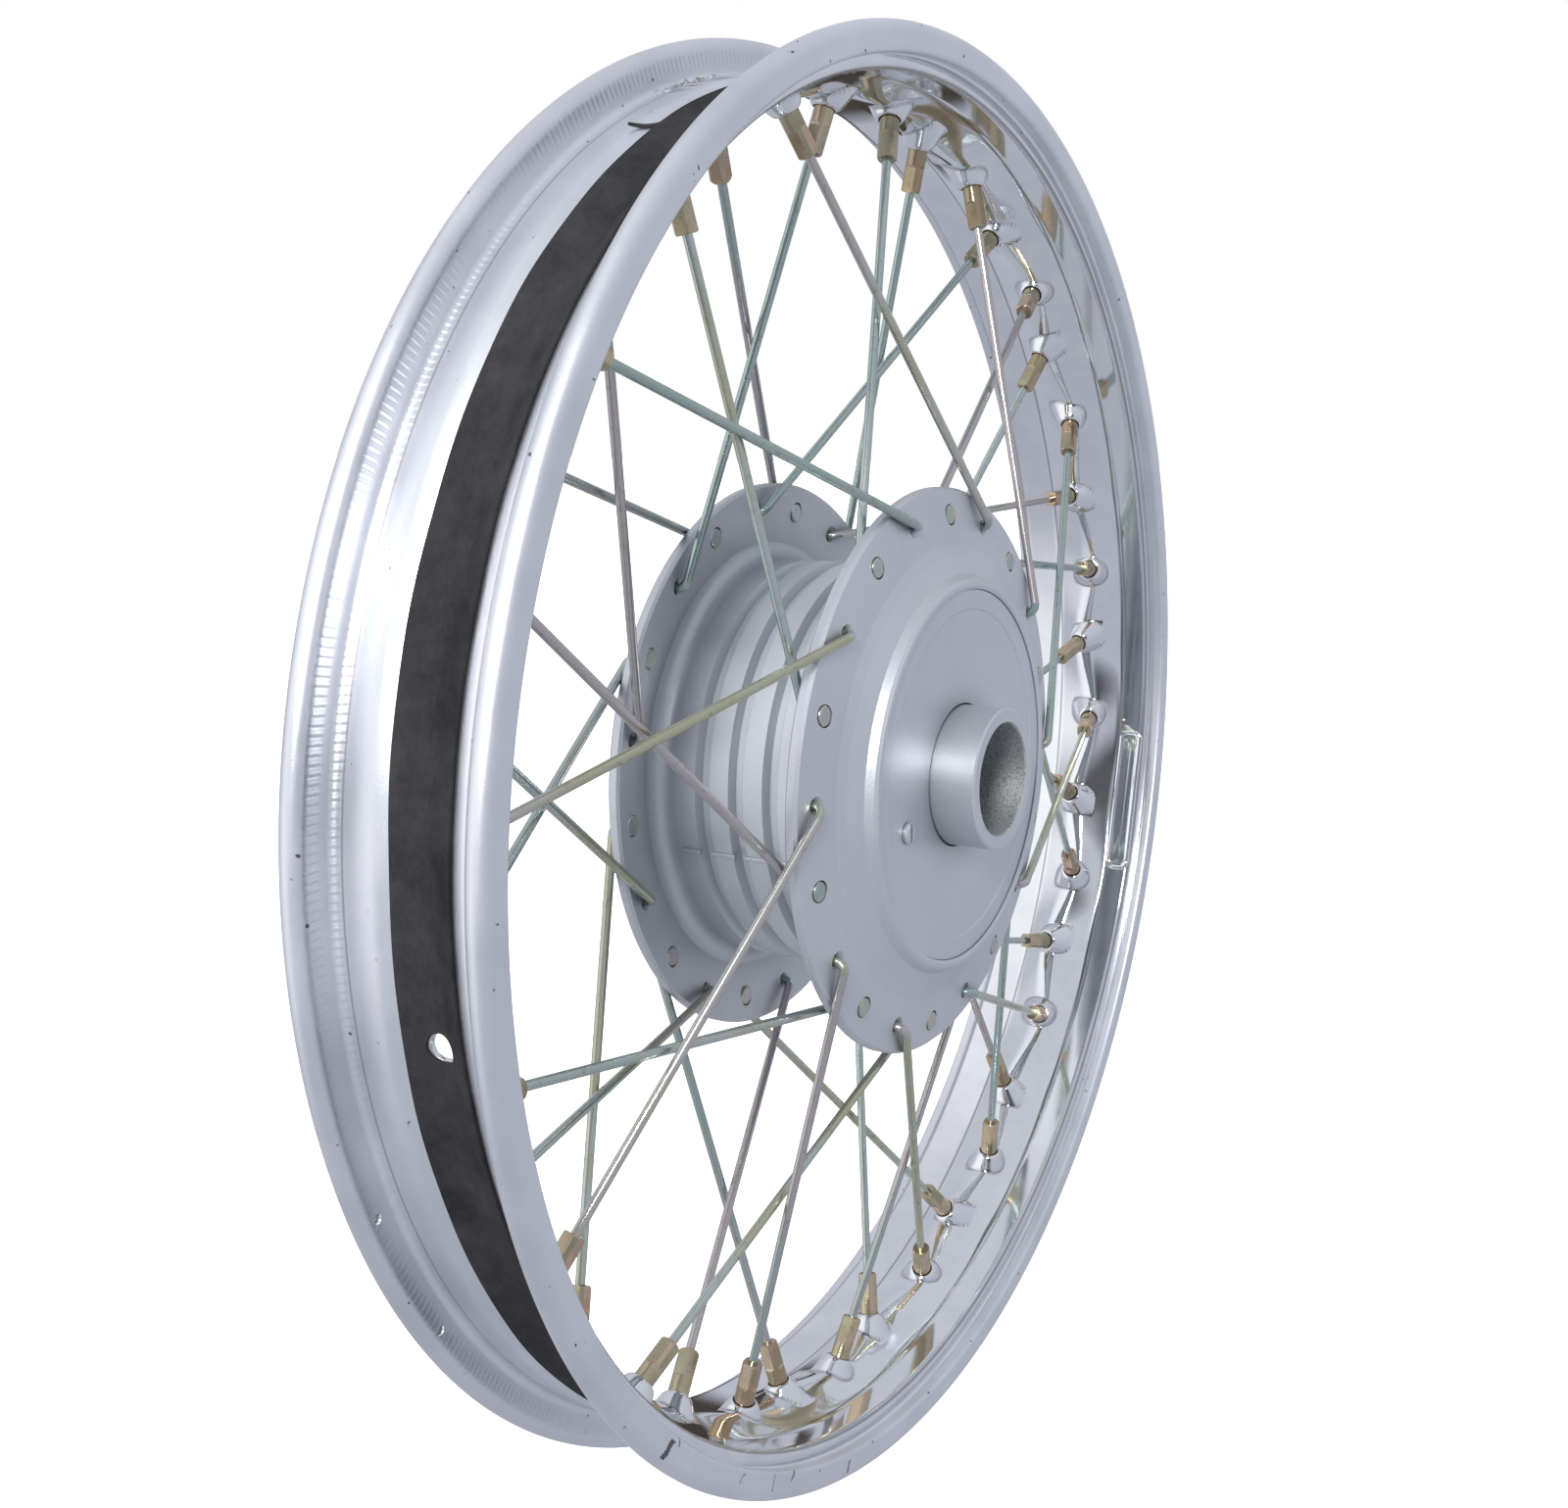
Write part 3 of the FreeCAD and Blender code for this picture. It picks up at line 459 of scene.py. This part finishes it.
def make_rim(polished, satin):
    """Chromed rim: hemmed flange edges, knurled far seat, waved well and a domed dimple at each nipple."""
    shell = Shell()
    hem = RIM_RADIUS - CURL_HEIGHT
    flange = [
        (SEAT_RADIUS, SEAT_HALF, 2.5), (RIM_RADIUS, SEAT_HALF, 4.07), (RIM_RADIUS, RIM_HALF, 4.07),
        (hem, RIM_HALF, 1.5), (hem, RIM_HALF - HEM_LIP, 0.6),
        (hem + HEM_CREASE, SEAT_HALF + SHEET + 0.9, 0.5), (hem + 0.2, SEAT_HALF + SHEET, 0.4),
        (UNDER_RADIUS, SEAT_HALF + SHEET, 2.4)]
    far = rounded([(SEAT_RADIUS, KNURL_START, 0)] + flange + [(UNDER_RADIUS, 14.5, 0)], 0.8)
    near = rounded([(SEAT_RADIUS, 17.5, 0)] + flange + [(UNDER_RADIUS, 18.5, 0)], 0.8)[::-1] * [1, -1]
    fine_rows = int(np.argmax(far[:, 0] > FINE_END))
    well = np.linspace(-18, 14, 43)
    angles = np.arange(COLUMNS) * CELL

    # the near flange from the hub side over to the tyre side, the well's two faces, and the far flange
    near_ids = shell.add(rows_round(near))
    hub_ids = shell.add(at(hub_side(well[:, None], angles[None, :]), well[:, None], angles[None, :]))
    tyre_ids = shell.add(at(tyre_side(well[:, None], angles[None, :]), well[:, None], angles[None, :]))
    far_ids = shell.add(rows_round(far[fine_rows:]))
    fine_angles = np.arange(COLUMNS * FINE) * CELL / FINE
    fine = far[:fine_rows]
    along = np.gradient(fine, axis=0)
    out = np.stack([along[:, 1], -along[:, 0]], axis=-1) / np.linalg.norm(along, axis=1)[:, None]
    marks, shade_and_grime = knurl(fine, fine_angles)
    radius = fine[:, :1] + out[:, :1] * marks
    fine_ids = shell.add(at(radius, fine[:, 1:] + out[:, 1:] * marks, fine_angles[None, :]))
    shell.shade_and_grime.append((fine_ids, shade_and_grime))

    # one index tells the polished faces from the satin ones
    far_hub = len(far_ids) - int(np.argmax(far[fine_rows:][::-1, 1] > 30)) - 3
    near_hub = int(np.argmax(near[:, 1] < -30)) + 2
    shell.quads(near_ids[:near_hub + 1], 0)
    shell.quads(near_ids[near_hub:], 1)
    shell.quads(far_ids[:far_hub + 1], 1)
    shell.quads(far_ids[far_hub:], 0)
    keep = np.ones((len(fine) - 1, COLUMNS * FINE), bool)
    wall = np.flatnonzero(np.abs(fine[:, 0] - FLANGE_HOLE_RADIUS) < 2.3)
    for angle in FLANGE_HOLES:
        blind_hole(shell, fine_ids, keep, wall[0], wall[-1], angle)
    shell.quads(fine_ids, 1, keep=keep)
    shell.fan(far_ids[0], fine_ids[-1], 1)
    shell.fan(tyre_ids[-1], fine_ids[0], 1)
    shell.quads(np.stack([hub_ids[-1], far_ids[-1]]), 0)
    shell.quads(np.stack([hub_ids[0], near_ids[0]]), 0)
    shell.quads(np.stack([tyre_ids[0], near_ids[-1]]), 1)

    keep = np.ones((len(well) - 1, COLUMNS), bool)
    hub, tyre = (hub_ids, hub_side, 1, 0), (tyre_ids, tyre_side, -1, 1)
    for seat, run in boss_sets():
        for number in range(SPOKES_PER_SET):
            turn = number * 360 / SPOKES_PER_SET
            punch(shell, (hub, tyre), well, keep, turned(seat, turn), turned(run, turn), NIPPLE_HOLE,
                  (2.25, 9.5), ((DOME_TIP, 0, DOME_ROUNDING[0]), (DOME_TIP - 0.3, DOME_WALL, DOME_ROUNDING[1])))
    punch(shell, (hub, tyre), well, keep, at(WELL_FLOOR - 8, WELL_CENTRE, VALVE_ANGLE), at(1, 0, VALVE_ANGLE),
          VALVE_RADIUS, (1.35, 6.2), (None, None))
    shell.quads(hub_ids, 0, keep=keep)
    shell.quads(tyre_ids, 1, keep=keep)
    rim = shell.made("rim_chromed", [polished, satin], 50)
    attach(rim, "wheel")
    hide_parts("rim")


def rounded_outline(half_long, half_wide, corner, inset):
    """Points round a rectangle with round corners, drawn in by an inset."""
    corner = max(corner - inset, 0.15)
    turn = np.radians(np.linspace(0, 90, CORNER_POINTS))
    long, wide = half_long - inset - corner, half_wide - inset - corner
    out = []
    for quarter, (x, y) in enumerate(((1, 1), (-1, 1), (-1, -1), (1, -1))):
        bearing = turn + quarter * math.pi / 2
        out.append(np.stack([x * long + corner * np.cos(bearing),
                             y * wide + corner * np.sin(bearing)], axis=-1))
    return np.concatenate(out)


def make_pad(polished):
    """The smooth rounded pad pressed up on the hub side of the near seat."""
    shell = Shell()
    rings = []
    for inset, height in PAD_STEPS:
        flat = rounded_outline(PAD_HALF_LONG, PAD_HALF_WIDE, PAD_CORNER, inset)
        bearing = PAD_ANGLE + np.degrees(flat[:, 0] / UNDER_RADIUS)
        rings.append(at(UNDER_RADIUS - height, PAD_Y + flat[:, 1], bearing))
    ids = shell.add(rings)
    shell.quads(ids)
    for end in ids[0][::-1], ids[-1]:
        half = len(end) // 2
        for i in range(half - 1):
            shell.faces.append([int(end[i]), int(end[i + 1]), int(end[-i - 2]), int(end[-i - 1])])
            shell.looks.append(0)
    finish(shell.made("rim_pressed_pad", [polished], 40))


def finish(piece):
    """A piece turns with the wheel."""
    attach(piece, "wheel")


# ---------------------------------------------------------------- rim tape

def make_tape(rubber):
    """Rubber band over the nipple heads, a little wavy at its edges, with the valve's hole and a torn strip."""
    shell = Shell()
    rows = np.linspace(-TAPE_HALF, TAPE_HALF, 29)
    angles = np.arange(COLUMNS) * CELL
    turn = np.radians(angles)[None, :]
    share = (rows[:, None] / TAPE_HALF) ** 5
    sway = 0.35 * np.sin(5 * turn + 1) + 0.22 * np.sin(13 * turn) + 0.12 * np.sin(31 * turn + 2)
    y = WELL_CENTRE + rows[:, None] + share * (sway * 0.7 - 0.2)

    def low(y, angle):
        return well_radius(y, WELL_FLOOR + TAPE_GAP, CREST_HALF, SEAT_RADIUS + TAPE_GAP, WELL_CENTRE)

    def high(y, angle):
        ripple = 0.10 * np.sin(np.radians(20 * (angle - NEAR_NIPPLE)))
        ripple = ripple + 0.08 * np.sin(np.radians(47 * angle))
        return low(y, angle) + TAPE_THICK + ripple * (1 - ((y - WELL_CENTRE) / TAPE_HALF) ** 2)

    low_ids = shell.add(at(low(y, angles[None, :]), y, angles[None, :]))
    high_ids = shell.add(at(high(y, angles[None, :]), y, angles[None, :]))
    keep = np.ones((len(rows) - 1, COLUMNS), bool)
    punch(shell, ((low_ids, low, 1, 0), (high_ids, high, -1, 0)), rows + WELL_CENTRE, keep,
          at(WELL_FLOOR - 8, WELL_CENTRE, VALVE_ANGLE), at(1, 0, VALVE_ANGLE), VALVE_RADIUS + TAPE_GAP,
          (1.5, 6.6), (None, None))
    shell.quads(low_ids, keep=keep)
    shell.quads(high_ids, keep=keep)
    for edge in (0, -1):
        shell.quads(np.stack([low_ids[edge], high_ids[edge]]))
    tape = shell.made("rim_tape_band", [rubber], 40)
    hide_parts("rim_tape")
    finish(tape)

    shell = Shell()
    rings = []
    for t in np.linspace(0, 1, 9):
        angle = TEAR_ANGLE - TEAR_TURN * t
        width = (1.3 - 0.8 * t) / 4.1
        middle = TEAR_RADIUS + TEAR_LIFT * t - 0.8 * math.sin(math.pi * t)
        thick = TAPE_THICK * (1 - 0.35 * t) / 2
        y = TEAR_START + TEAR_REACH * t
        rings.append([at(middle + out * thick, y, angle + side * width)
                      for out, side in ((-1, -1), (-1, 1), (1, 1), (1, -1))])
    ids = shell.add(rings)
    shell.quads(ids)
    for end in ids[0][::-1], ids[-1]:
        shell.faces.append(end.tolist())
        shell.looks.append(0)
    finish(shell.made("rim_tape_tear", [rubber], 40))


# ---------------------------------------------------------------- hub

def make_flash_line(paint):
    """The casting's parting line: a low bar over each land of the drum."""
    shell = Shell()
    foot, shoulder = DRUM_RADIUS - FLASH_SIDE, DRUM_RADIUS + FLASH_SIDE
    for a, b in DRUM_LANDS:
        corners = ((foot, a), (shoulder, a), (shoulder, b), (foot, b))
        rings = [[at(r, y, FLASH_ANGLE + side) for r, y in corners] for side in (-FLASH_HALF, FLASH_HALF)]
        top = [at(DRUM_RADIUS + FLASH_TOP, y, FLASH_ANGLE) for y in (a, b)]
        near, far = shell.add(rings)
        tip = shell.add(top)
        shell.faces += [[int(near[0]), int(near[1]), int(tip[0]), int(far[1]), int(far[0])],
                        [int(near[3]), int(near[2]), int(tip[1]), int(far[2]), int(far[3])],
                        [int(near[1]), int(near[2]), int(tip[1]), int(tip[0])],
                        [int(far[1]), int(far[2]), int(tip[1]), int(tip[0])],
                        [int(near[0]), int(near[3]), int(near[2]), int(near[1])],
                        [int(far[0]), int(far[3]), int(far[2]), int(far[1])],
                        [int(near[0]), int(near[3]), int(far[3]), int(far[0])]]
        shell.looks += [0] * 7
    finish(shell.made("hub_parting_line", [paint], 50))


# ---------------------------------------------------------------- materials

def material(name):
    """A new material, its node maker and its shader."""
    made = bpy.data.materials.new(name)
    made.use_nodes = True
    nodes = made.node_tree.nodes
    return made, Nodes(made.node_tree), nodes["Principled BSDF"]


class Nodes:
    """Short calls for the nodes of one material."""

    def __init__(self, tree):
        self.tree = tree
        self.place = self.new("ShaderNodeTexCoord").outputs["Object"]

    def new(self, kind, **settings):
        node = self.tree.nodes.new(kind)
        for key, value in settings.items():
            setattr(node, key, value)
        return node

    def feed(self, socket, value):
        """Link a socket to another, or set its value."""
        if isinstance(value, bpy.types.NodeSocket):
            self.tree.links.new(value, socket)
        elif hasattr(socket.default_value, "__len__") and len(socket.default_value) == 4:
            socket.default_value = (*value, 1)
        else:
            socket.default_value = value

    def noise(self, scale, detail=3, stretch=(1, 1, 1), rough=0.55, vector=None):
        """Noise of so many cells to a metre, along each axis in turn."""
        moved = self.new("ShaderNodeMapping")
        self.feed(moved.inputs["Vector"], vector or self.place)
        moved.inputs["Scale"].default_value = [scale * s for s in stretch]
        node = self.new("ShaderNodeTexNoise")
        self.feed(node.inputs["Vector"], moved.outputs[0])
        node.inputs["Scale"].default_value = 1
        node.inputs["Detail"].default_value = detail
        node.inputs["Roughness"].default_value = rough
        return node.outputs["Fac"]

    def math(self, operation, a, b=0.0, c=0.0):
        node = self.new("ShaderNodeMath", operation=operation)
        for socket, value in zip(node.inputs, (a, b, c)):
            self.feed(socket, value)
        return node.outputs[0]

    def between(self, value, low, high, out_low=0.0, out_high=1.0):
        """A value's place between low and high, spread over another range."""
        node = self.new("ShaderNodeMapRange")
        for name, number in zip(("Value", "From Min", "From Max", "To Min", "To Max"),
                                (value, low, high, out_low, out_high)):
            self.feed(node.inputs[name], number)
        return node.outputs[0]

    def ramp(self, value, stops):
        """Colours along a value."""
        node = self.new("ShaderNodeValToRGB")
        self.feed(node.inputs[0], value)
        band = node.color_ramp
        while len(band.elements) < len(stops):
            band.elements.new(0.5)
        for element, (place, colour) in zip(band.elements, stops):
            element.position = place
            element.color = (*colour, 1)
        return node.outputs[0]

    def mix(self, share, a, b):
        node = self.new("ShaderNodeMix", data_type="RGBA")
        for name, value in (("Factor", share), ("A", a), ("B", b)):
            colours = name != "Factor"
            self.feed([s for s in node.inputs if s.name == name and (s.type == "RGBA") == colours][0], value)
        return [s for s in node.outputs if s.type == "RGBA"][0]

    def polar(self):
        """Radius and y in metres and the angle round the axle in degrees, 0 to 360."""
        split = self.new("ShaderNodeSeparateXYZ")
        self.feed(split.inputs[0], self.place)
        x, y, z = split.outputs
        radius = self.math("SQRT", self.math("ADD", self.math("MULTIPLY", x, x), self.math("MULTIPLY", z, z)))
        turn = self.math("MULTIPLY", self.math("ARCTAN2", x, z), 180 / math.pi)
        return radius, y, self.math("MODULO", self.math("ADD", turn, 360), 360)

    def join(self, x, y, z):
        node = self.new("ShaderNodeCombineXYZ")
        for socket, value in zip(node.inputs, (x, y, z)):
            self.feed(socket, value)
        return node.outputs[0]

    def lobe(self, towards, inner, outer):
        """1 within an angle of a direction, 0 beyond a wider one, for a world's shader."""
        dot = self.new("ShaderNodeVectorMath", operation="DOT_PRODUCT")
        self.feed(dot.inputs[0], self.new("ShaderNodeTexCoord").outputs["Generated"])
        dot.inputs[1].default_value = Vector(towards).normalized()
        edges = math.cos(math.radians(outer)), math.cos(math.radians(inner))
        return self.between(dot.outputs["Value"], *edges)

    def gap(self, a, b):
        """How far apart two values are."""
        return self.math("ABSOLUTE", self.math("SUBTRACT", a, b))

    def bump(self, shader, height, distance, strength):
        node = self.new("ShaderNodeBump")
        node.inputs["Strength"].default_value = strength
        node.inputs["Distance"].default_value = distance
        self.feed(node.inputs["Height"], height)
        self.feed(shader.inputs["Normal"], node.outputs[0])


def polished_chrome():
    """The hub side: mirror plating with painted shade and grime in its creases, at the feet of its domes and
    round their holes.
    """
    made, n, shader = material("polished_chrome")
    haze = n.noise(60, 4)
    radius, y, _ = n.polar()
    # painted shade and grime: thin dark lines along the creases at the well's edges and at the flanges' feet
    inner = n.between(n.gap(n.gap(y, WELL_CENTRE * MM), WELL_HALF * MM), 0.0001, 0.0007, 0.75, 0)
    outer = n.between(n.gap(radius, (UNDER_RADIUS + 0.7) * MM), 0.0001, 0.0007, 0.75, 0)
    outer = n.math("MULTIPLY", outer, n.math("GREATER_THAN", n.math("ABSOLUTE", y), (SEAT_HALF - 0.5) * MM))
    tone = n.ramp(haze, [(0.3, (0.78, 0.79, 0.82)), (0.7, (0.86, 0.87, 0.89))])
    # the stored painted shade and grime at the domes' feet and round their holes, joined with the crease lines
    foot = n.new("ShaderNodeAttribute", attribute_name="shade_and_grime").outputs["Fac"]
    darkening = n.math("MAXIMUM", n.math("MULTIPLY", foot, 0.8), n.math("MAXIMUM", inner, outer))
    n.feed(shader.inputs["Base Color"], n.mix(darkening, tone, (0.22, 0.21, 0.21)))
    n.feed(shader.inputs["Metallic"], 1.0)
    n.feed(shader.inputs["Roughness"], n.between(haze, 0.3, 0.7, 0.05, 0.10))
    n.bump(shader, n.noise(35, 2), 0.0003, 0.2)
    return made


def satin_chrome():
    """The tyre side and the lips: plated brushed steel with dull patches, specks, a few scratches and some
    painted shade.
    """
    made, n, shader = material("satin_chrome")
    radius, y, angle = n.polar()
    haze = n.noise(25, 5)
    brushed = n.noise(1, 2, (2600, 2600, 12), vector=n.join(radius, y, angle))
    marks = n.between(n.noise(300, 1), 0.76, 0.80)
    face = n.math("LESS_THAN", y, -RIM_HALF * MM + 0.0006)
    for start, end, low, high, half in SCRATCHES:
        along = n.between(radius, low * MM, high * MM)
        middle = n.math("ADD", n.math("MULTIPLY", along, end - start), start)
        off = n.gap(angle, middle)
        inside = n.math("COMPARE", radius, (low + high) / 2 * MM, (high - low) / 2 * MM)
        rough = n.math("MULTIPLY", n.noise(900, 2), 2 * half)
        scratch = n.math("MULTIPLY", n.math("LESS_THAN", off, rough), inside)
        marks = n.math("MAXIMUM", marks, n.math("MULTIPLY", scratch, face))
    tone = n.ramp(haze, [(0.3, (0.73, 0.75, 0.79)), (0.7, (0.84, 0.85, 0.89))])
    tone = n.mix(n.between(n.gap(y, SEAM_Y * MM), 0.0002, 0.0005, 0.6, 0), tone, (0.36, 0.31, 0.26))
    # the stored darkening too: painted shade at the domes' feet and round their holes, and the dark rings round
    # the weld beads
    marks = n.math("MAXIMUM", marks, n.new("ShaderNodeAttribute", attribute_name="shade_and_grime").outputs["Fac"])
    n.feed(shader.inputs["Base Color"], n.mix(marks, tone, (0.16, 0.15, 0.17)))
    n.feed(shader.inputs["Metallic"], 1.0)
    n.feed(shader.inputs["Roughness"], n.math("ADD", n.between(haze, 0.3, 0.7, 0.31, 0.39),
                                              n.between(brushed, 0.3, 0.7, 0.0, 0.08)))
    height = n.math("SUBTRACT", n.math("ADD", n.noise(900, 3), n.math("MULTIPLY", brushed, 0.5)), marks)
    n.bump(shader, height, 0.00005, 0.5)
    return made


def hub_paint(name, dark, light, grain, inside=None):
    """Silver paint over a slightly grainy casting, with painted shade in its nooks, and rougher inside a
    radius.
    """
    made, n, shader = material(name)
    cloud = n.noise(14, 4)
    grit = n.noise(1100, 3, rough=0.7)
    tone = n.ramp(cloud, [(0.3, dark), (0.7, light)])
    tone = n.mix(n.between(grit, 0.55, 0.75, 0, 0.35), tone, (0.9, 0.91, 0.93))
    stain = n.between(n.noise(45, 5, rough=0.7), 0.66, 0.80, 0, 0.30)
    tone = n.mix(stain, tone, (0.30, 0.29, 0.29))
    # painted shade: ambient occlusion darkens the paint in its nooks, between the flanges and round the spokes
    nook_shade = n.new("ShaderNodeAmbientOcclusion", samples=8)
    nook_shade.inputs["Distance"].default_value = 0.025
    tone = n.mix(n.between(nook_shade.outputs["AO"], 0.25, 0.85, 0.65, 0), tone, (0.17, 0.175, 0.19))
    rough = n.between(cloud, 0.3, 0.7, 0.40, 0.50)
    if inside:
        radius = n.polar()[0]
        bore = n.math("LESS_THAN", radius, inside * MM)
        tone = n.mix(bore, tone, n.ramp(grit, [(0.35, (0.32, 0.33, 0.34)), (0.65, (0.62, 0.63, 0.64))]))
        rough = n.math("ADD", rough, n.math("MULTIPLY", bore, 0.15))
    n.feed(shader.inputs["Base Color"], tone)
    n.feed(shader.inputs["Metallic"], 0.85)
    n.feed(shader.inputs["Roughness"], rough)
    n.bump(shader, n.math("ADD", n.noise(500, 4), grit), grain, 0.6)
    return made


def tape_rubber():
    """Black rubber, dusty in cloudy smears, with fine scuffs that run round it."""
    made, n, shader = material("tape_rubber")
    radius, y, angle = n.polar()
    dust = n.noise(34, 8, rough=0.72)
    scuff = n.noise(1, 3, (700, 900, 1.2), vector=n.join(radius, y, angle))
    shade = n.math("ADD", n.math("MULTIPLY", dust, 0.85), n.math("MULTIPLY", scuff, 0.15))
    tone = n.ramp(shade, [(0.36, (0.018, 0.018, 0.020)), (0.64, (0.050, 0.048, 0.049))])
    n.feed(shader.inputs["Base Color"], tone)
    n.feed(shader.inputs["Roughness"], n.between(shade, 0.3, 0.7, 0.6, 0.8))
    n.feed(shader.inputs["Specular IOR Level"], 0.12)
    n.bump(shader, n.math("ADD", dust, n.math("MULTIPLY", n.noise(1500, 2), 0.15)), 0.0004, 0.4)
    return made


def rainbow_zinc(name, stops, rough, run):
    """Zinc whose thin yellow film shows other tints from wire to wire and along each."""
    made, n, shader = material(name)
    island = n.new("ShaderNodeNewGeometry").outputs["Random Per Island"]
    streak = n.noise(run, 4, rough=0.6)
    tint = n.math("FRACT", n.math("ADD", island, n.math("MULTIPLY", streak, 1.1)))
    darkening = n.between(n.noise(380, 4, rough=0.7), 0.56, 0.74, 0, 0.45)
    n.feed(shader.inputs["Base Color"], n.mix(darkening, n.ramp(tint, stops), (0.17, 0.15, 0.11)))
    n.feed(shader.inputs["Metallic"], 0.95)
    n.feed(shader.inputs["Roughness"], n.between(streak, 0.3, 0.7, rough, rough + 0.14))
    n.bump(shader, n.noise(800, 2), 0.00003, 0.4)
    return made


def plain_metal(name, dark, light, rough):
    """Bare machined or cast metal, a little cloudy."""
    made, n, shader = material(name)
    cloud = n.noise(60, 4)
    n.feed(shader.inputs["Base Color"], n.ramp(cloud, [(0.3, dark), (0.7, light)]))
    n.feed(shader.inputs["Metallic"], 1.0)
    n.feed(shader.inputs["Roughness"], n.between(cloud, 0.3, 0.7, rough, rough + 0.12))
    n.bump(shader, n.noise(900, 3), 0.00004, 0.4)
    return made


# ---------------------------------------------------------------- stage

def look_at(thing, place, target):
    thing.location = place
    thing.rotation_mode = "QUATERNION"
    thing.rotation_quaternion = (Vector(target) - Vector(place)).to_track_quat("-Z", "Y")


def make_camera():
    azimuth, elevation = math.radians(CAMERA_TURN), math.radians(CAMERA_RISE)
    back = Vector((math.sin(azimuth) * math.cos(elevation), -math.cos(azimuth) * math.cos(elevation),
                   math.sin(elevation)))
    right = Vector((0, 0, 1)).cross(back).normalized()
    up = back.cross(right)
    data = bpy.data.cameras.new("camera")
    data.sensor_width = SENSOR
    data.lens = LENS
    data.clip_start, data.clip_end = 0.01, 50
    camera = bpy.data.objects.new("camera", data)
    bpy.context.scene.collection.objects.link(camera)
    place = back * CAMERA_PLACE[2] + right * CAMERA_PLACE[0] + up * CAMERA_PLACE[1]
    look_at(camera, place, place - back)
    bpy.context.scene.camera = camera


def make_light():
    """A square soft light at the upper left, towards the wheel's centre."""
    data = bpy.data.lights.new("key", "AREA")
    data.shape = "RECTANGLE"
    data.size, data.size_y = KEY_SIZE, KEY_SIZE
    data.energy = KEY_POWER
    light = bpy.data.objects.new("key", data)
    bpy.context.scene.collection.objects.link(light)
    look_at(light, KEY_PLACE, (0, 0, 0))


def make_stage():
    """A white floor that reflections don't show, and a studio: white to the camera, pale grey to the metal."""
    floor_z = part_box("rim")[0].z
    made, n, shader = material("floor")
    tone = n.ramp(n.noise(2, 2), [(0.3, (0.88, 0.88, 0.88)), (0.7, (0.9, 0.9, 0.9))])
    n.feed(shader.inputs["Base Color"], tone)
    n.feed(shader.inputs["Roughness"], 0.9)
    n.feed(shader.inputs["Emission Color"], WHITE)
    n.feed(shader.inputs["Emission Strength"], 1.0)
    corners = [(x * FLOOR_HALF, y * FLOOR_HALF, floor_z) for x, y in ((-1, -1), (1, -1), (1, 1), (-1, 1))]
    mesh = bpy.data.meshes.new("floor")
    mesh.from_pydata(corners, [], [(0, 1, 2, 3)])
    mesh.materials.append(made)
    floor = bpy.data.objects.new("floor", mesh)
    floor.visible_glossy = False
    floor.visible_diffuse = False
    bpy.context.scene.collection.objects.link(floor)

    world = bpy.data.worlds.new("studio")
    world.use_nodes = True
    bpy.context.scene.world = world
    n = Nodes(world.node_tree)
    split = n.new("ShaderNodeSeparateXYZ")
    n.feed(split.inputs[0], n.new("ShaderNodeTexCoord").outputs["Generated"])
    room = n.ramp(n.between(split.outputs[2], -1, 1), STUDIO)
    for towards, inner, outer, colour in LOBES:
        room = n.mix(n.lobe(towards, inner, outer), room, colour)
    seen = n.new("ShaderNodeLightPath").outputs["Is Camera Ray"]
    background = world.node_tree.nodes["Background"]
    n.feed(background.inputs["Color"], n.mix(seen, room, WHITE))
    n.feed(background.inputs["Strength"], 1.0)
    make_light()


def dress(node, made):
    """Give a CAD node its material and round its curved faces."""
    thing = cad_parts[node]
    thing.data.materials.clear()
    thing.data.materials.append(made)
    thing.data.shade_smooth()
    thing.data.set_sharp_from_angle(angle=math.radians(30))


def dress_nodes(paint):
    """Materials for the CAD nodes that stay as they are."""
    for node in PAINTED_NODES:
        dress(node, paint)
    sleeve = hub_paint("sleeve_paint", (0.62, 0.65, 0.68), (0.72, 0.74, 0.77), 0.00012, inside=20.5)
    dress("bearing_sleeve", sleeve)
    wire = rainbow_zinc("spoke_zinc", WIRE_TINTS, 0.16, 9)
    brass = rainbow_zinc("nipple_zinc", NIPPLE_TINTS, 0.18, 70)
    steel = plain_metal("bare_steel", (0.42, 0.42, 0.43), (0.55, 0.55, 0.56), 0.3)
    dress("brake_liner", plain_metal("cast_iron", (0.20, 0.19, 0.19), (0.30, 0.29, 0.28), 0.38))
    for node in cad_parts:
        if node.startswith("spokes"):
            dress(node, wire)
        elif node.startswith("nipples"):
            dress(node, brass)
        elif "bearing_" in node and node != "bearing_sleeve" or node in STEEL_NODES:
            dress(node, steel)


chrome = polished_chrome()
make_rim(chrome, satin_chrome())
make_pad(chrome)
make_tape(tape_rubber())
hub_silver = hub_paint("hub_paint", (0.62, 0.64, 0.675), (0.70, 0.72, 0.755), 0.00007)
make_flash_line(hub_silver)
dress_nodes(hub_silver)
make_camera()
make_stage()
bpy.context.scene.view_settings.view_transform = "Standard"
